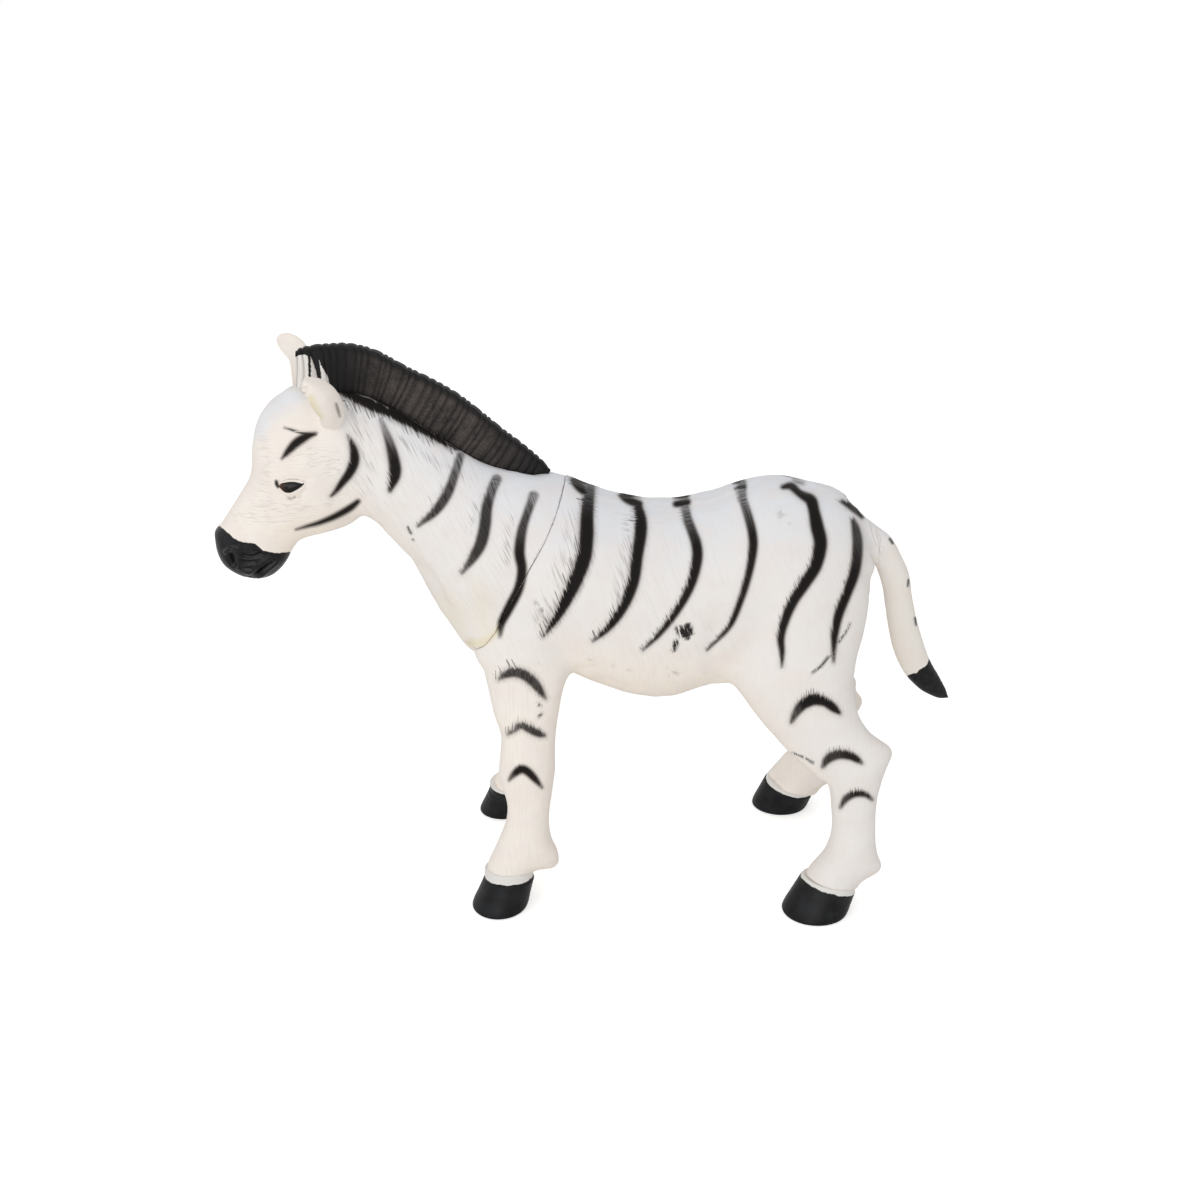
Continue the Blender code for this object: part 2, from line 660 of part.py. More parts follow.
def build():
    clear_scene()
    parts = collection("zebra_foal")
    cutters = collection("cutters")
    feet = [Foot(end, side) for end in ("front", "hind") for side in (-1, 1)]
    forms = [
        loft("torso_form", refined(torso_rings(), 4), cutters),
        loft("neck_form", refined(neck_rings(), 4), cutters),
        loft("head_form", refined(head_rings(), 3), cutters),
    ]
    for foot in feet:
        forms.append(loft(f"leg_form_{foot.name}", refined(foot.leg_rings(), 3), cutters))
    skin = make_cutter(moulded("skin_form", forms, cutters))

    far = 2 * (TORSO_LENGTH + NECK_LENGTH + HEAD_LENGTH)
    half_gap = CLEARANCE / 2
    ahead = make_cutter(half_space("ahead_of_seam", -far, half_gap, cutters))
    behind = make_cutter(half_space("behind_seam", -half_gap, far, cutters))
    within = make_cutter(hollow("hollow_in_body", WALL, cutters))
    sleeve_outside = make_cutter(hollow("sleeve_outside", WALL + CLEARANCE, cutters))
    within_head = make_cutter(hollow("hollow_in_head", WALL + CLEARANCE + SLEEVE_WALL, cutters))
    sleeve_inset = WALL + 2 * CLEARANCE + SLEEVE_WALL
    neck_stuffing_form = make_cutter(hollow("neck_stuffing_form", sleeve_inset, cutters))

    body = new_object("body_shell", skin.data.copy(), parts)
    boolean(body, ahead, "DIFFERENCE")
    boolean(body, within, "DIFFERENCE")
    for foot in feet:
        joint = loft(f"hoof_joint_{foot.name}", foot.joint_cutter_rings(), cutters)
        boolean(body, make_cutter(joint), "DIFFERENCE")
    tail_socket = loft("tail_socket", grown(refined(tail_rings(), 2), CLEARANCE), cutters, TRIM_SIDES)
    boolean(body, make_cutter(tail_socket), "DIFFERENCE")
    mane_slot = make_cutter(mane_form("mane_slot", CLEARANCE, cutters))
    boolean(body, mane_slot, "DIFFERENCE")

    head = new_object("head_shell", skin.data.copy(), parts)
    sleeve_span = make_cutter(half_space("sleeve_span", -OVERRUN, SLEEVE_LENGTH, cutters))
    sleeve = make_cutter(new_object("sleeve", sleeve_outside.data.copy(), cutters))
    boolean(sleeve, sleeve_span, "INTERSECT")
    boolean(behind, sleeve, "DIFFERENCE")
    boolean(head, behind, "DIFFERENCE")
    boolean(head, within_head, "DIFFERENCE")
    boolean(head, mane_slot, "DIFFERENCE")

    mane = mane_form("mane", 0.0, parts)
    finish(mane, BLACK_VINYL)
    face_sockets = []
    for label, side, root_shares, way in (
        ("left", -1, LEFT_EAR_SHARES, LEFT_EAR_WAY),
        ("right", 1, RIGHT_EAR_SHARES, RIGHT_EAR_WAY),
    ):
        rings = refined(ear_rings(side, root_shares, way), 2)
        ear = loft(f"ear_{label}", rings, parts, TRIM_SIDES)
        finish(ear, VINYL)
        finish(eye_form(f"eye_{label}", side, 0.0, parts), EYE_GLOSS)
        ear_socket = loft(f"ear_socket_{label}", grown(rings, CLEARANCE), cutters, TRIM_SIDES)
        eye_socket = eye_form(f"eye_socket_{label}", side, CLEARANCE, cutters)
        for socket in (ear_socket, eye_socket):
            boolean(head, make_cutter(socket), "DIFFERENCE")
            face_sockets.append(socket)
    finish(body, VINYL)
    finish(head, VINYL)

    finish(loft("tail", refined(tail_rings(), 2), parts, TRIM_SIDES), VINYL)
    for foot in feet:
        finish(loft(f"hoof_{foot.name}", foot.hoof_rings(), parts), HOOF_VINYL)

    body_stuffing = new_object("body_filling", sleeve_outside.data.copy(), parts)
    body_span = make_cutter(half_space("body_span", SLEEVE_LENGTH + CLEARANCE, far, cutters))
    boolean(body_stuffing, body_span, "INTERSECT")
    boolean(body_stuffing, tail_socket, "DIFFERENCE")
    finish(body_stuffing, FILLING)
    neck_stuffing = new_object("neck_filling", neck_stuffing_form.data.copy(), parts)
    neck_span = make_cutter(half_space("neck_span", -far, SLEEVE_LENGTH, cutters))
    boolean(neck_stuffing, neck_span, "INTERSECT")
    for tool in (mane_slot, *face_sockets):
        boolean(neck_stuffing, tool, "DIFFERENCE")
    finish(neck_stuffing, FILLING)
    centre_over_floor(parts, cutters)


build()
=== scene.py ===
"""Looks of the toy zebra foal: its moulded and painted vinyl skin, mane, ears, eyes, tail and hooves."""

import math

import bmesh
import bpy
import numpy as np
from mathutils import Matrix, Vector
from mathutils.bvhtree import BVHTree


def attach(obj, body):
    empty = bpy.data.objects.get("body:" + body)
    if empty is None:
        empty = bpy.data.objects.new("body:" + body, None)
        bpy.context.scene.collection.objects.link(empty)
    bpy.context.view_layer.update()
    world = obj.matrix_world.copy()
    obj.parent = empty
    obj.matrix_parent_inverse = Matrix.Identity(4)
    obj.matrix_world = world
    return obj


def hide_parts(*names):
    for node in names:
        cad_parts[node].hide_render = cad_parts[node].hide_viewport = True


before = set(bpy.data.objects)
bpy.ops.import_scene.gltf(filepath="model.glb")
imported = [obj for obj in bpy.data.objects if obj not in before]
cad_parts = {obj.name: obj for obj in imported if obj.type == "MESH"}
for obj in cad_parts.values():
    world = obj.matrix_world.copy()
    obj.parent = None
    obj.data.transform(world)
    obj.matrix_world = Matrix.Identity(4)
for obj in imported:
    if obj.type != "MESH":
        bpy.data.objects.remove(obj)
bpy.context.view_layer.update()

# Studio: a white table that runs on into white, a broad soft lamp from the upper left and another low in
# front. The camera stands where the photographer's did, square to the animal's side and looking down on it.
MM = 0.001
PHOTO_WIDTH_PX = 1200
FOCAL_PX = 1300.0
SENSOR_MM = 36.0
CAMERA_AIM = Vector((0.003, 0.0, 0.1056))
CAMERA_REACH = 0.4615
CAMERA_DROP = math.radians(22.5)
TABLE_COLOUR = "#F2F1F0"
WORLD_STRENGTH = 0.70
KEY_WATTS = 3.0
FILL_WATTS = 2.8
TABLE_HALF_M = 12.0
# The camera sees the table this much brighter, so that it runs into the white behind it
TABLE_LIFT = 0.50


def srgb(code, alpha=1.0):
    """A linear colour from its sRGB hex code."""
    parts = [int(code[k : k + 2], 16) / 255 for k in (1, 3, 5)]
    linear = [p / 12.92 if p <= 0.04045 else ((p + 0.055) / 1.055) ** 2.4 for p in parts]
    return (*linear, alpha)


def add(tree, kind, *values, out=0, **settings):
    """Adds a node, fills its sockets in order, or as a dict names or numbers them, and gives one output."""
    node = tree.nodes.new("ShaderNode" + kind)
    for name, setting in settings.items():
        setattr(node, name, setting)
    filled = values[0] if values and isinstance(values[0], dict) else dict(enumerate(values))
    for name, value in filled.items():
        if isinstance(value, bpy.types.NodeSocket):
            tree.links.new(value, node.inputs[name])
        else:
            node.inputs[name].default_value = value
    return node.outputs[out] if len(node.outputs) else None


def new_material(name):
    material = bpy.data.materials.new(name)
    material.use_nodes = True
    material.node_tree.nodes.clear()
    return material, material.node_tree


camera_way = Vector((0.0, -math.cos(CAMERA_DROP), math.sin(CAMERA_DROP)))
camera_up = Vector((0.0, math.sin(CAMERA_DROP), math.cos(CAMERA_DROP)))
camera_place = CAMERA_AIM + camera_way * CAMERA_REACH
camera = bpy.data.objects.new("camera", bpy.data.cameras.new("camera"))
bpy.context.scene.collection.objects.link(camera)
camera.data.sensor_width = SENSOR_MM
camera.data.lens = FOCAL_PX * SENSOR_MM / PHOTO_WIDTH_PX
camera.location = camera_place
camera.rotation_euler = (math.pi / 2 - CAMERA_DROP, 0.0, 0.0)
camera.data.clip_start, camera.data.clip_end = 0.01, 50.0
bpy.context.scene.camera = camera
bpy.context.scene.view_settings.view_transform = "Standard"


def lamp(name, place, size, watts):
    light = bpy.data.lights.new(name, "AREA")
    light.shape = "DISK"
    light.size = size
    light.energy = watts
    stand = bpy.data.objects.new(name, light)
    bpy.context.scene.collection.objects.link(stand)
    stand.location = place
    stand.rotation_euler = (Vector(place) - CAMERA_AIM).to_track_quat("Z", "Y").to_euler()


lamp("key_lamp", (-0.55, -0.90, 0.75), 0.9, KEY_WATTS)
lamp("fill_lamp", (-0.12, -1.15, 0.05), 0.8, FILL_WATTS)


def object_of(name, form):
    mesh = bpy.data.meshes.new(name)
    form.to_mesh(mesh)
    form.free()
    piece = bpy.data.objects.new(name, mesh)
    bpy.context.scene.collection.objects.link(piece)
    return piece


# The camera and the glossy black paint see pure white around them, and everything else a little less light
world = bpy.data.worlds.new("studio")
bpy.context.scene.world = world
world.use_nodes = True
sky = world.node_tree
sky.nodes.clear()
by_camera = add(sky, "LightPath", out="Is Camera Ray")
by_gloss = add(sky, "LightPath", out="Is Glossy Ray")
seen = add(sky, "Math", by_camera, by_gloss, operation="MAXIMUM")
lit = add(sky, "Background", (1, 1, 1, 1), WORLD_STRENGTH)
white = add(sky, "Background", (1, 1, 1, 1), 1.0)
add(sky, "OutputWorld", {"Surface": add(sky, "MixShader", seen, lit, white)})

table_form = bmesh.new()
bmesh.ops.create_grid(table_form, x_segments=1, y_segments=1, size=TABLE_HALF_M)
table_top = object_of("table_top", table_form)
table_material, tree = new_material("white_table")
matt = add(tree, "BsdfDiffuse", {"Color": srgb(TABLE_COLOUR)})
lift = add(tree, "Math", add(tree, "LightPath", out="Is Camera Ray"), TABLE_LIFT, operation="MULTIPLY")
glow = add(tree, "Emission", (1, 1, 1, 1), lift)
add(tree, "OutputMaterial", {"Surface": add(tree, "AddShader", matt, glow)})
table_top.data.materials.append(table_material)


# Skin of the whole animal: hollow soft vinyl, about 2.2 mm thick, cast in a mould that was carved by hand. It
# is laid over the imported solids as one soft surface, so that it runs on smoothly across the neck seam, the
# hoof joints and the roots of the tail and ears, and is cut at those joints later.
SKIN_GRAIN = 0.95 * MM
SWELL = 0.2 * MM
SKIN_RELAX = 30
SKIN_SETTLE = 60
FILLINGS = ("body_filling", "neck_filling")
SKIN_NODES = (
    "body_shell", "head_shell", *FILLINGS, "tail", "eye_left", "eye_right", "hoof_front_left",
    "hoof_front_right", "hoof_hind_left", "hoof_hind_right",
)
# Each ear's node, a place at its root and the way it grows from there
EAR_ROOTS = (
    ("ear_left", (-0.0837, -0.0106, 0.1760), (-0.14, -0.80, 0.58)),
    ("ear_right", (-0.0884, 0.0096, 0.1795), (-0.72, 0.30, 0.72)),
)
EAR_PLUG = 4.5 * MM
EAR_PLUG_SWELL = 0.3 * MM


def copy_of(node):
    """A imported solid's mesh with its loose triangles joined."""
    form = bmesh.new()
    form.from_mesh(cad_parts[node].data)
    bmesh.ops.remove_doubles(form, verts=form.verts, dist=0.002 * MM)
    return form


def swell_into(form, solid, amount):
    """Adds a solid, with its skin moved out, to a form."""
    solid.normal_update()
    for point in solid.verts:
        point.co += point.normal * amount
    lent = bpy.data.meshes.new("lent")
    solid.to_mesh(lent)
    solid.free()
    form.from_mesh(lent)
    bpy.data.meshes.remove(lent)


def keep_largest_island(form):
    """Drops all but the largest connected part, which leaves only the outer skin."""
    form.verts.ensure_lookup_table()
    reached, best = set(), []
    for start in form.verts:
        if start.index in reached:
            continue
        island, waiting = [start], [start]
        reached.add(start.index)
        while waiting:
            point = waiting.pop()
            for edge in point.link_edges:
                other = edge.other_vert(point)
                if other.index not in reached:
                    reached.add(other.index)
                    island.append(other)
                    waiting.append(other)
        if len(island) > len(best):
            best = island
    kept = set(best)
    bmesh.ops.delete(form, geom=[v for v in form.verts if v not in kept], context="VERTS")


def fill_holes(form):
    """Closes every open rim with one flat face."""
    rims = [edge for edge in form.edges if edge.is_boundary]
    bmesh.ops.holes_fill(form, edges=rims, sides=0)


def remesh(piece, grain):
    """Wraps a piece in one closed skin of small squares."""
    modifier = piece.modifiers.new("skin", "REMESH")
    modifier.mode = "VOXEL"
    modifier.voxel_size = grain
    bpy.context.view_layer.update()
    wrapped = piece.evaluated_get(bpy.context.evaluated_depsgraph_get())
    mesh = bpy.data.meshes.new_from_object(wrapped)
    piece.modifiers.clear()
    piece.data = mesh


def points_of(mesh):
    points = np.empty(len(mesh.vertices) * 3)
    mesh.vertices.foreach_get("co", points)
    return points.reshape(-1, 3)


def normals_of(mesh):
    normals = np.empty(len(mesh.vertices) * 3)
    mesh.vertex_normals.foreach_get("vector", normals)
    return normals.reshape(-1, 3)


def put_points(mesh, points):
    mesh.vertices.foreach_set("co", points.ravel())
    mesh.update()


def relaxed(mesh, points, turns):
    """Points drawn half-way to the middle of their neighbours, again and again."""
    edges = np.empty(len(mesh.edges) * 2, dtype=np.int64)
    mesh.edges.foreach_get("vertices", edges)
    a, b = edges.reshape(-1, 2).T
    count = len(points)
    degree = np.bincount(a, minlength=count) + np.bincount(b, minlength=count)
    for _ in range(turns):
        middle = np.empty_like(points)
        for axis in range(3):
            total = np.bincount(a, points[b, axis], count) + np.bincount(b, points[a, axis], count)
            middle[:, axis] = total / degree
        points = points + (middle - points) * 0.5
    return points


def relax_keeping_girth(mesh, turns, settle):
    """Relaxes a mesh, then gives back what its broad form lost, so that legs and lips keep their girth."""
    points = points_of(mesh)
    smooth = relaxed(mesh, points, turns)
    put_points(mesh, smooth + relaxed(mesh, points - smooth, settle))


whole_form = bmesh.new()
for node in SKIN_NODES:
    swell_into(whole_form, copy_of(node), SWELL)
for node, root, way in EAR_ROOTS:
    plug = copy_of(node)
    bmesh.ops.bisect_plane(plug, geom=plug.verts[:] + plug.edges[:] + plug.faces[:], clear_outer=True,
                           plane_co=Vector(root) + Vector(way).normalized() * EAR_PLUG, plane_no=way)
    fill_holes(plug)
    swell_into(whole_form, plug, EAR_PLUG_SWELL)
whole = object_of("whole_skin", whole_form)
remesh(whole, SKIN_GRAIN)
trimmed = bmesh.new()
trimmed.from_mesh(whole.data)
keep_largest_island(trimmed)
trimmed.to_mesh(whole.data)
trimmed.free()
put_points(whole.data, points_of(whole.data) - normals_of(whole.data) * SWELL)
relax_keeping_girth(whole.data, SKIN_RELAX, SKIN_SETTLE)


# Carving of the skin: folds, hollows and swellings of the mould, alike on both sides, the broad ones on the
# whole skin and the fine ones on the head once its mesh is finer. Each is a line or a spot in the
# photograph's pixels, then how far the skin rises there, or sinks below 0, and how wide, in millimetres.
CARVED_BROAD = {
    "throat_valley": (((345, 405), (352, 430), (360, 455), (366, 480), (368, 505)), -0.9, 3.4),
    "jaw_back": (((338, 440), (347, 462), (350, 486), (340, 505)), 0.7, 4.5),
    "elbow_fold": (((565, 690), (572, 672), (590, 668)), -0.7, 2.4),
    "flank_fold": (((722, 680), (712, 655), (716, 630)), -0.9, 3.4),
    "heel_hollow": (((868, 700), (872, 725)), -0.7, 3.0),
    "front_knee": (((523, 758),), 0.6, 5.5),
    "spine": (((566, 481), (600, 493), (640, 502), (680, 503), (711, 497), (740, 488), (770, 481), (800, 483),
        (830, 493), (848, 504)), 0.40, 0.9),
    "shoulder": (((560, 560), (548, 600), (530, 640)), 0.7, 8.0),
    "thigh": (((800, 560), (800, 610)), 0.8, 12.0),
    "stifle": (((752, 690),), 0.6, 6.0),
    "eye_brow": (((272, 470), (288, 462), (304, 466)), 0.7, 3.0),
    "cheek_bone": (((300, 505), (275, 528)), 0.4, 3.0),
    "nose_side": (((262, 490), (246, 520)), -0.35, 3.4),
    "temple_hollow": (((312, 450), (318, 440)), -0.35, 3.5),
}
CARVED_FINE = {
    "upper_lid_crease": (((278, 482), (288, 478), (298, 478.5), (310, 479)), -0.6, 0.6),
    "upper_lid": (((280, 485), (286, 481), (294, 480), (302, 483)), 0.5, 0.6),
    "lower_lid": (((281, 490), (288, 494.5), (297, 492.5), (303, 487)), 0.4, 0.7),
    "lower_lid_crease": (((281, 494), (289, 498), (298, 496), (305, 490)), -0.30, 0.9),
    "tear_duct": (((276.5, 482), (277, 486)), -0.7, 0.6),
    "brow_crease": (((285, 427.5), (300, 431), (317, 433.6)), -0.35, 0.6),
    "brow_fold": (((286, 423), (300, 426), (316, 429)), 0.30, 1.3),
    "mouth": (((249, 578), (258, 572.5), (266, 566.5), (273.5, 561)), -1.6, 0.75),
    "upper_lip": (((248, 573), (256, 568), (264, 562), (271, 557)), 0.5, 1.1),
    "lower_lip": (((259, 577), (267, 571), (276, 564)), 0.45, 1.0),
    "nostril": (((230.5, 557), (231.5, 561), (233, 564)), -2.0, 1.1),
    "nostril_rim": (((226, 552), (231, 549), (237, 553), (239, 560), (238, 567)), 0.9, 0.9),
    "nose_bridge_dent": (((246, 545), (243, 552), (240, 556)), -0.6, 1.6),
    "muzzle_fold_1": (((240, 561), (247, 563), (254, 562)), -0.85, 0.6),
    "muzzle_fold_2": (((238, 566), (244, 569), (251, 569)), -0.85, 0.6),
    "muzzle_fold_3": (((243, 556), (251, 557), (259, 555)), -0.8, 0.6),
    "muzzle_fold_4": (((255, 551), (264, 555), (272, 556)), -0.6, 0.6),
    "chin": (((262, 574),), 0.35, 2.2),
    "cheek_crease": (((352, 405), (357, 430), (362, 452)), -0.25, 0.6),
    "cheek_crease_2": (((343, 412), (349, 436), (353, 456)), -0.18, 0.6),
}
FACE_BACK = -0.082
EYE_SPOT = Vector((-0.0995, 0.0165, 0.1515))
EYE_ZONE = 6.5 * MM
MUZZLE_BACK = -0.1135
# How many of its widths away a brush has faded, and where to look for the skin past the outline
BRUSH_FADED = 2.6
PAST_OUTLINE_Y = -6 * MM


def curve_through(points, steps=6):
    """A smooth curve through points of any number of values."""
    points = np.asarray(points, dtype=float)
    if len(points) < 3:
        return points
    ends = np.vstack([2 * points[0] - points[1], points, 2 * points[-1] - points[-2]])
    found = []
    for a, b, c, d in zip(ends, ends[1:], ends[2:], ends[3:]):
        for step in range(steps):
            t = step / steps
            found.append(0.5 * (2 * b + (c - a) * t + (2 * a - 5 * b + 4 * c - d) * t**2
                                + (3 * b - a - 3 * c + d) * t**3))
    return np.vstack([found, points[-1:]])


def sight(px, py):
    """The way from the camera through a pixel of the photograph."""
    across = (px - PHOTO_WIDTH_PX / 2) / FOCAL_PX
    upward = (PHOTO_WIDTH_PX / 2 - py) / FOCAL_PX
    return (camera_up * upward + Vector((across, 0.0, 0.0)) - camera_way).normalized()


def seen_at(px, py, out=0.0):
    """The place that a pixel shows on an upright plane along the animal, so far out to its right."""
    way = sight(px, py)
    return camera_place + way * ((out - camera_place.y) / way.y)


def pixels_of(points, folded=True):
    """Photograph pixels of places, with the right side folded over on the left, and how deep they lie."""
    offset = points.copy()
    if folded:
        offset[:, 1] = -np.abs(offset[:, 1])
    offset -= np.array(camera_place)
    depth = offset @ -np.array(camera_way)
    px = PHOTO_WIDTH_PX / 2 + FOCAL_PX * offset[:, 0] / depth
    py = PHOTO_WIDTH_PX / 2 - FOCAL_PX * (offset @ np.array(camera_up)) / depth
    return np.column_stack([px, py]), depth


def skin_tree(mesh):
    """A search tree of a mesh's faces."""
    return BVHTree.FromPolygons([v.co for v in mesh.vertices], [p.vertices for p in mesh.polygons])


def on_skin(tree_of_skin, px, py):
    """The place and normal of the skin that a pixel shows, or of the nearest skin past the outline."""
    place, normal, _, _ = tree_of_skin.ray_cast(camera_place, sight(px, py))
    if place is None:
        place, normal, _, _ = tree_of_skin.find_nearest(seen_at(px, py, PAST_OUTLINE_Y))
    return place, normal


def distance_to_line(points, line):
    """How far points lie from a line of points, in the line's own unit."""
    if len(line) == 1:
        return np.linalg.norm(points - line[0], axis=1)
    best = np.full(len(points), np.inf)
    for start, end in zip(line, line[1:]):
        span = end - start
        share = np.clip((points - start) @ span / (span @ span + 1e-18), 0.0, 1.0)
        best = np.minimum(best, np.linalg.norm(points - start - share[:, None] * span, axis=1))
    return best


def carve(mesh, carvings):
    """Raises or sinks the skin along each line, most at the line and less away from it."""
    points, normals = points_of(mesh), normals_of(mesh)
    folded = points.copy()
    folded[:, 1] = -np.abs(folded[:, 1])
    tree_of_skin = skin_tree(mesh)
    rise = np.zeros(len(points))
    for line, height, width in carvings.values():
        places = np.array([on_skin(tree_of_skin, *pixel)[0] for pixel in line])
        places = curve_through(places)
        reach = BRUSH_FADED * width * MM
        near = np.all((folded > places.min(0) - reach) & (folded < places.max(0) + reach), axis=1)
        distance = distance_to_line(folded[near], places) / (width * MM)
        rise[near] += height * MM * np.exp(-(distance**2))
    put_points(mesh, points + normals * rise[:, None])


carve(whole.data, CARVED_BROAD)


# Outline: the skin is drawn out or in, softly and alike on both sides, until its edges against the white are
# those of the photograph. Each line of pixels runs along one edge. After it comes a pixel inside it, then -1
# for an edge of the near side only, 1 for one of the far side only, and 0 for both.
OUTLINES = {
    "forehead": (((292, 385.5), (284, 391), (274, 397.5), (267, 405), (258, 419), (254, 435), (252, 453),
        (252, 467), (249, 478), (241, 492), (231, 508), (222, 522)), (300, 460), 0),
    "muzzle": (((214.8, 530), (215.2, 538), (216.6, 549), (222.6, 563), (233.4, 572), (245, 577),
        (257, 578.5), (272, 575), (284, 564), (290, 554)), (255, 545), 0),
    "jaw": (((294, 547), (300, 540), (315, 535), (333, 530.5), (349, 524.5), (358, 519), (364, 515)),
        (320, 480), 0),
    "neck_front": (((374.5, 520), (389, 535), (405, 552), (418, 565), (426, 578), (434, 596), (442, 612),
        (449, 621), (456, 632), (464.5, 643), (475, 654)), (480, 540), 0),
    "back": (((562, 475), (578, 480), (591, 485.5), (609, 492), (622, 493), (644, 497), (671, 497.5),
        (691, 495.5), (711, 490.5), (734, 482.5), (748, 478.5), (769, 475), (787, 476), (805, 480),
        (823, 485), (839, 490), (850, 501), (861, 513)), (700, 600), 0),
    "tail_outer": (((876, 525), (891, 537), (901, 555), (909, 574), (912.5, 599), (918, 624), (928, 656),
        (939, 676), (947.5, 693), (948, 697)), (905, 640), 0),
    "tail_tip": (((948, 697.5), (943, 699), (933, 696), (922, 690.5)), (925, 670), 0),
    "tail_inner": (((871, 560), (876, 567), (882, 585), (886, 612), (890.5, 639), (896.5, 658), (907.5, 677),
        (921, 690)), (905, 640), 0),
    "rump": (((869, 560), (870, 576), (869, 599), (866, 621), (862, 639), (858, 653), (855, 668), (853, 683)),
        (800, 600), 0),
    "hock": (((857, 710), (862, 722), (872, 734), (883, 742), (891.5, 749), (891, 757), (885, 772),
        (878, 795), (875.5, 816), (875.5, 840), (877.5, 854.5), (881.5, 866)), (840, 790), -1),
    "hind_heel": (((881, 868.5), (874, 874.5), (864, 880), (857, 887)), (850, 850), -1),
    "hind_front": (((724, 680), (731, 683), (742, 695), (755, 713), (763, 723), (774, 735.5), (788, 751),
        (806, 768)), (800, 690), -1),
    "shank_front": (((831, 803), (832, 823), (828, 842), (819, 855), (808.5, 866.5), (801, 874)), (855, 830),
        -1),
    "foreleg_front": (((485, 675), (489, 692), (494, 714), (500.5, 732.5), (501, 745), (499, 766)),
        (525, 740), -1),
    "cannon_front": (((500, 779), (503.5, 790), (507, 802), (507.5, 813), (505, 824), (497.5, 842),
        (491, 856), (488.5, 862), (485.5, 870)), (530, 830), -1),
    "foreleg_back": (((571, 674), (563.5, 688), (559, 710), (555.5, 736), (555, 755), (555, 770), (552, 792),
        (549, 815), (551, 836), (557, 849), (558.5, 857), (558, 863)), (525, 780), -1),
    "front_heel": (((556, 866), (548, 868.5), (537, 870)), (535, 845), -1),
    "far_hock": (((855, 690), (861, 696), (862.5, 701), (859, 709)), (845, 705), 1),
    "far_foot_front": (((501, 757), (499.5, 769), (495, 777.5), (492.5, 781.5)), (512, 772), 1),
    "far_foreleg_back": (((553, 752), (552.5, 762), (552.5, 772), (550, 784)), (530, 765), 1),
    "far_shank": (((786, 752), (776, 763), (766, 775)), (800, 775), 1),
    "belly": (((583, 676), (603, 684), (624, 691.5), (644, 695), (664.5, 696), (685, 692), (705, 684)),
        (650, 600), 0),
}
# How far a pull spreads in each round, and how it fades where few pulls reach
OUTLINE_REACHES = (6.5 * MM, 6.5 * MM, 6.5 * MM, 3.0 * MM, 3.0 * MM, 2.5 * MM)
OUTLINE_FADE = 0.15
OUTLINE_STEP_PX = 7.0
# A point of the skin is on an edge where it is this nearly edge-on to the camera, this near to the outline's
# pixel and faces this much the outline's way. One that lies beside the pixel counts as further off.
OUTLINE_EDGE_ON = 0.16
OUTLINE_FAR_PX = 18
OUTLINE_FACING = 0.75
OUTLINE_BESIDE = 2.0
# Heights over which the pull fades in above the hooves
HOOF_TOP_Z = (0.0110, 0.0150)
SKIN_OVER_FILLING = 1.1 * MM
FILLING_NEAR = 4 * MM
PUSH_RELAX = 4


def smooth_step(values, low, high):
    """From 0 at low to 1 at high, with soft ends."""
    share = np.clip((values - low) / (high - low), 0.0, 1.0)
    return share * share * (3.0 - 2.0 * share)


def evenly_along(line, step):
    """Points at even steps along the smooth curve through a line's points."""
    fine = curve_through(line, 12)
    run = np.concatenate([[0.0], np.cumsum(np.linalg.norm(np.diff(fine, axis=0), axis=1))])
    at = np.linspace(0.0, run[-1], max(2, round(run[-1] / step) + 1))
    return np.column_stack([np.interp(at, run, fine[:, k]) for k in range(fine.shape[1])])


def edge_points(points, normals, line, inner, side):
    """Where the skin's edge lies beside each pixel of an outline, and how far it has to move, in X and Z."""
    pixels, depth = pixels_of(points, folded=False)
    toward = np.array(camera_place) - points
    toward /= np.linalg.norm(toward, axis=1)[:, None]
    edge_on = np.abs((normals * toward).sum(axis=1)) < OUTLINE_EDGE_ON
    if side:
        edge_on &= points[:, 1] * side > 0
    slant = np.column_stack([normals[:, 0], -normals @ np.array(camera_up)])
    line, inner = evenly_along(line, OUTLINE_STEP_PX), np.asarray(inner, dtype=float)
    tangents = np.gradient(line, axis=0)
    tangents /= np.linalg.norm(tangents, axis=1)[:, None]
    points, pixels, depth, slant = points[edge_on], pixels[edge_on], depth[edge_on], slant[edge_on]
    found = []
    for spot, tangent in zip(line, tangents):
        out = np.array([tangent[1], -tangent[0]])
        out *= np.sign(out @ (spot - inner))
        offset = pixels - spot
        near = (np.abs(offset).max(axis=1) < OUTLINE_FAR_PX) & (slant @ out > OUTLINE_FACING)
        if near.any():
            score = np.hypot(OUTLINE_BESIDE * offset @ tangent, offset @ out)
            best = np.where(near, score, np.inf).argmin()
            short = -(offset[best] @ out) * depth[best] / FOCAL_PX
            found.append((points[best], (out[0] * short, 0.0, -out[1] * short / math.cos(CAMERA_DROP))))
    return found


def draw_to_outlines(mesh):
    """Draws the skin's edges to the outlines, in rounds that spread less and less."""
    for reach in OUTLINE_REACHES:
        points, normals = points_of(mesh), normals_of(mesh)
        moved, weights = np.zeros_like(points), np.full(len(points), OUTLINE_FADE)
        order = np.argsort(points[:, 0])
        sorted_x = points[order, 0]
        for line, inner, side in OUTLINES.values():
            for place, move in edge_points(points, normals, line, inner, side):
                for turn in (1.0,) if side > 0 else (1.0, -1.0):
                    faded = BRUSH_FADED * reach
                    start, end = np.searchsorted(sorted_x, (place[0] - faded, place[0] + faded))
                    near = order[start:end]
                    offset = points[near] - place * np.array([1.0, turn, 1.0])
                    weight = np.exp(-(offset**2).sum(axis=1) / reach**2)
                    moved[near] += weight[:, None] * np.array(move)
                    weights[near] += weight
        kept = smooth_step(points[:, 2], *HOOF_TOP_Z)
        put_points(mesh, points + moved / weights[:, None] * kept[:, None])


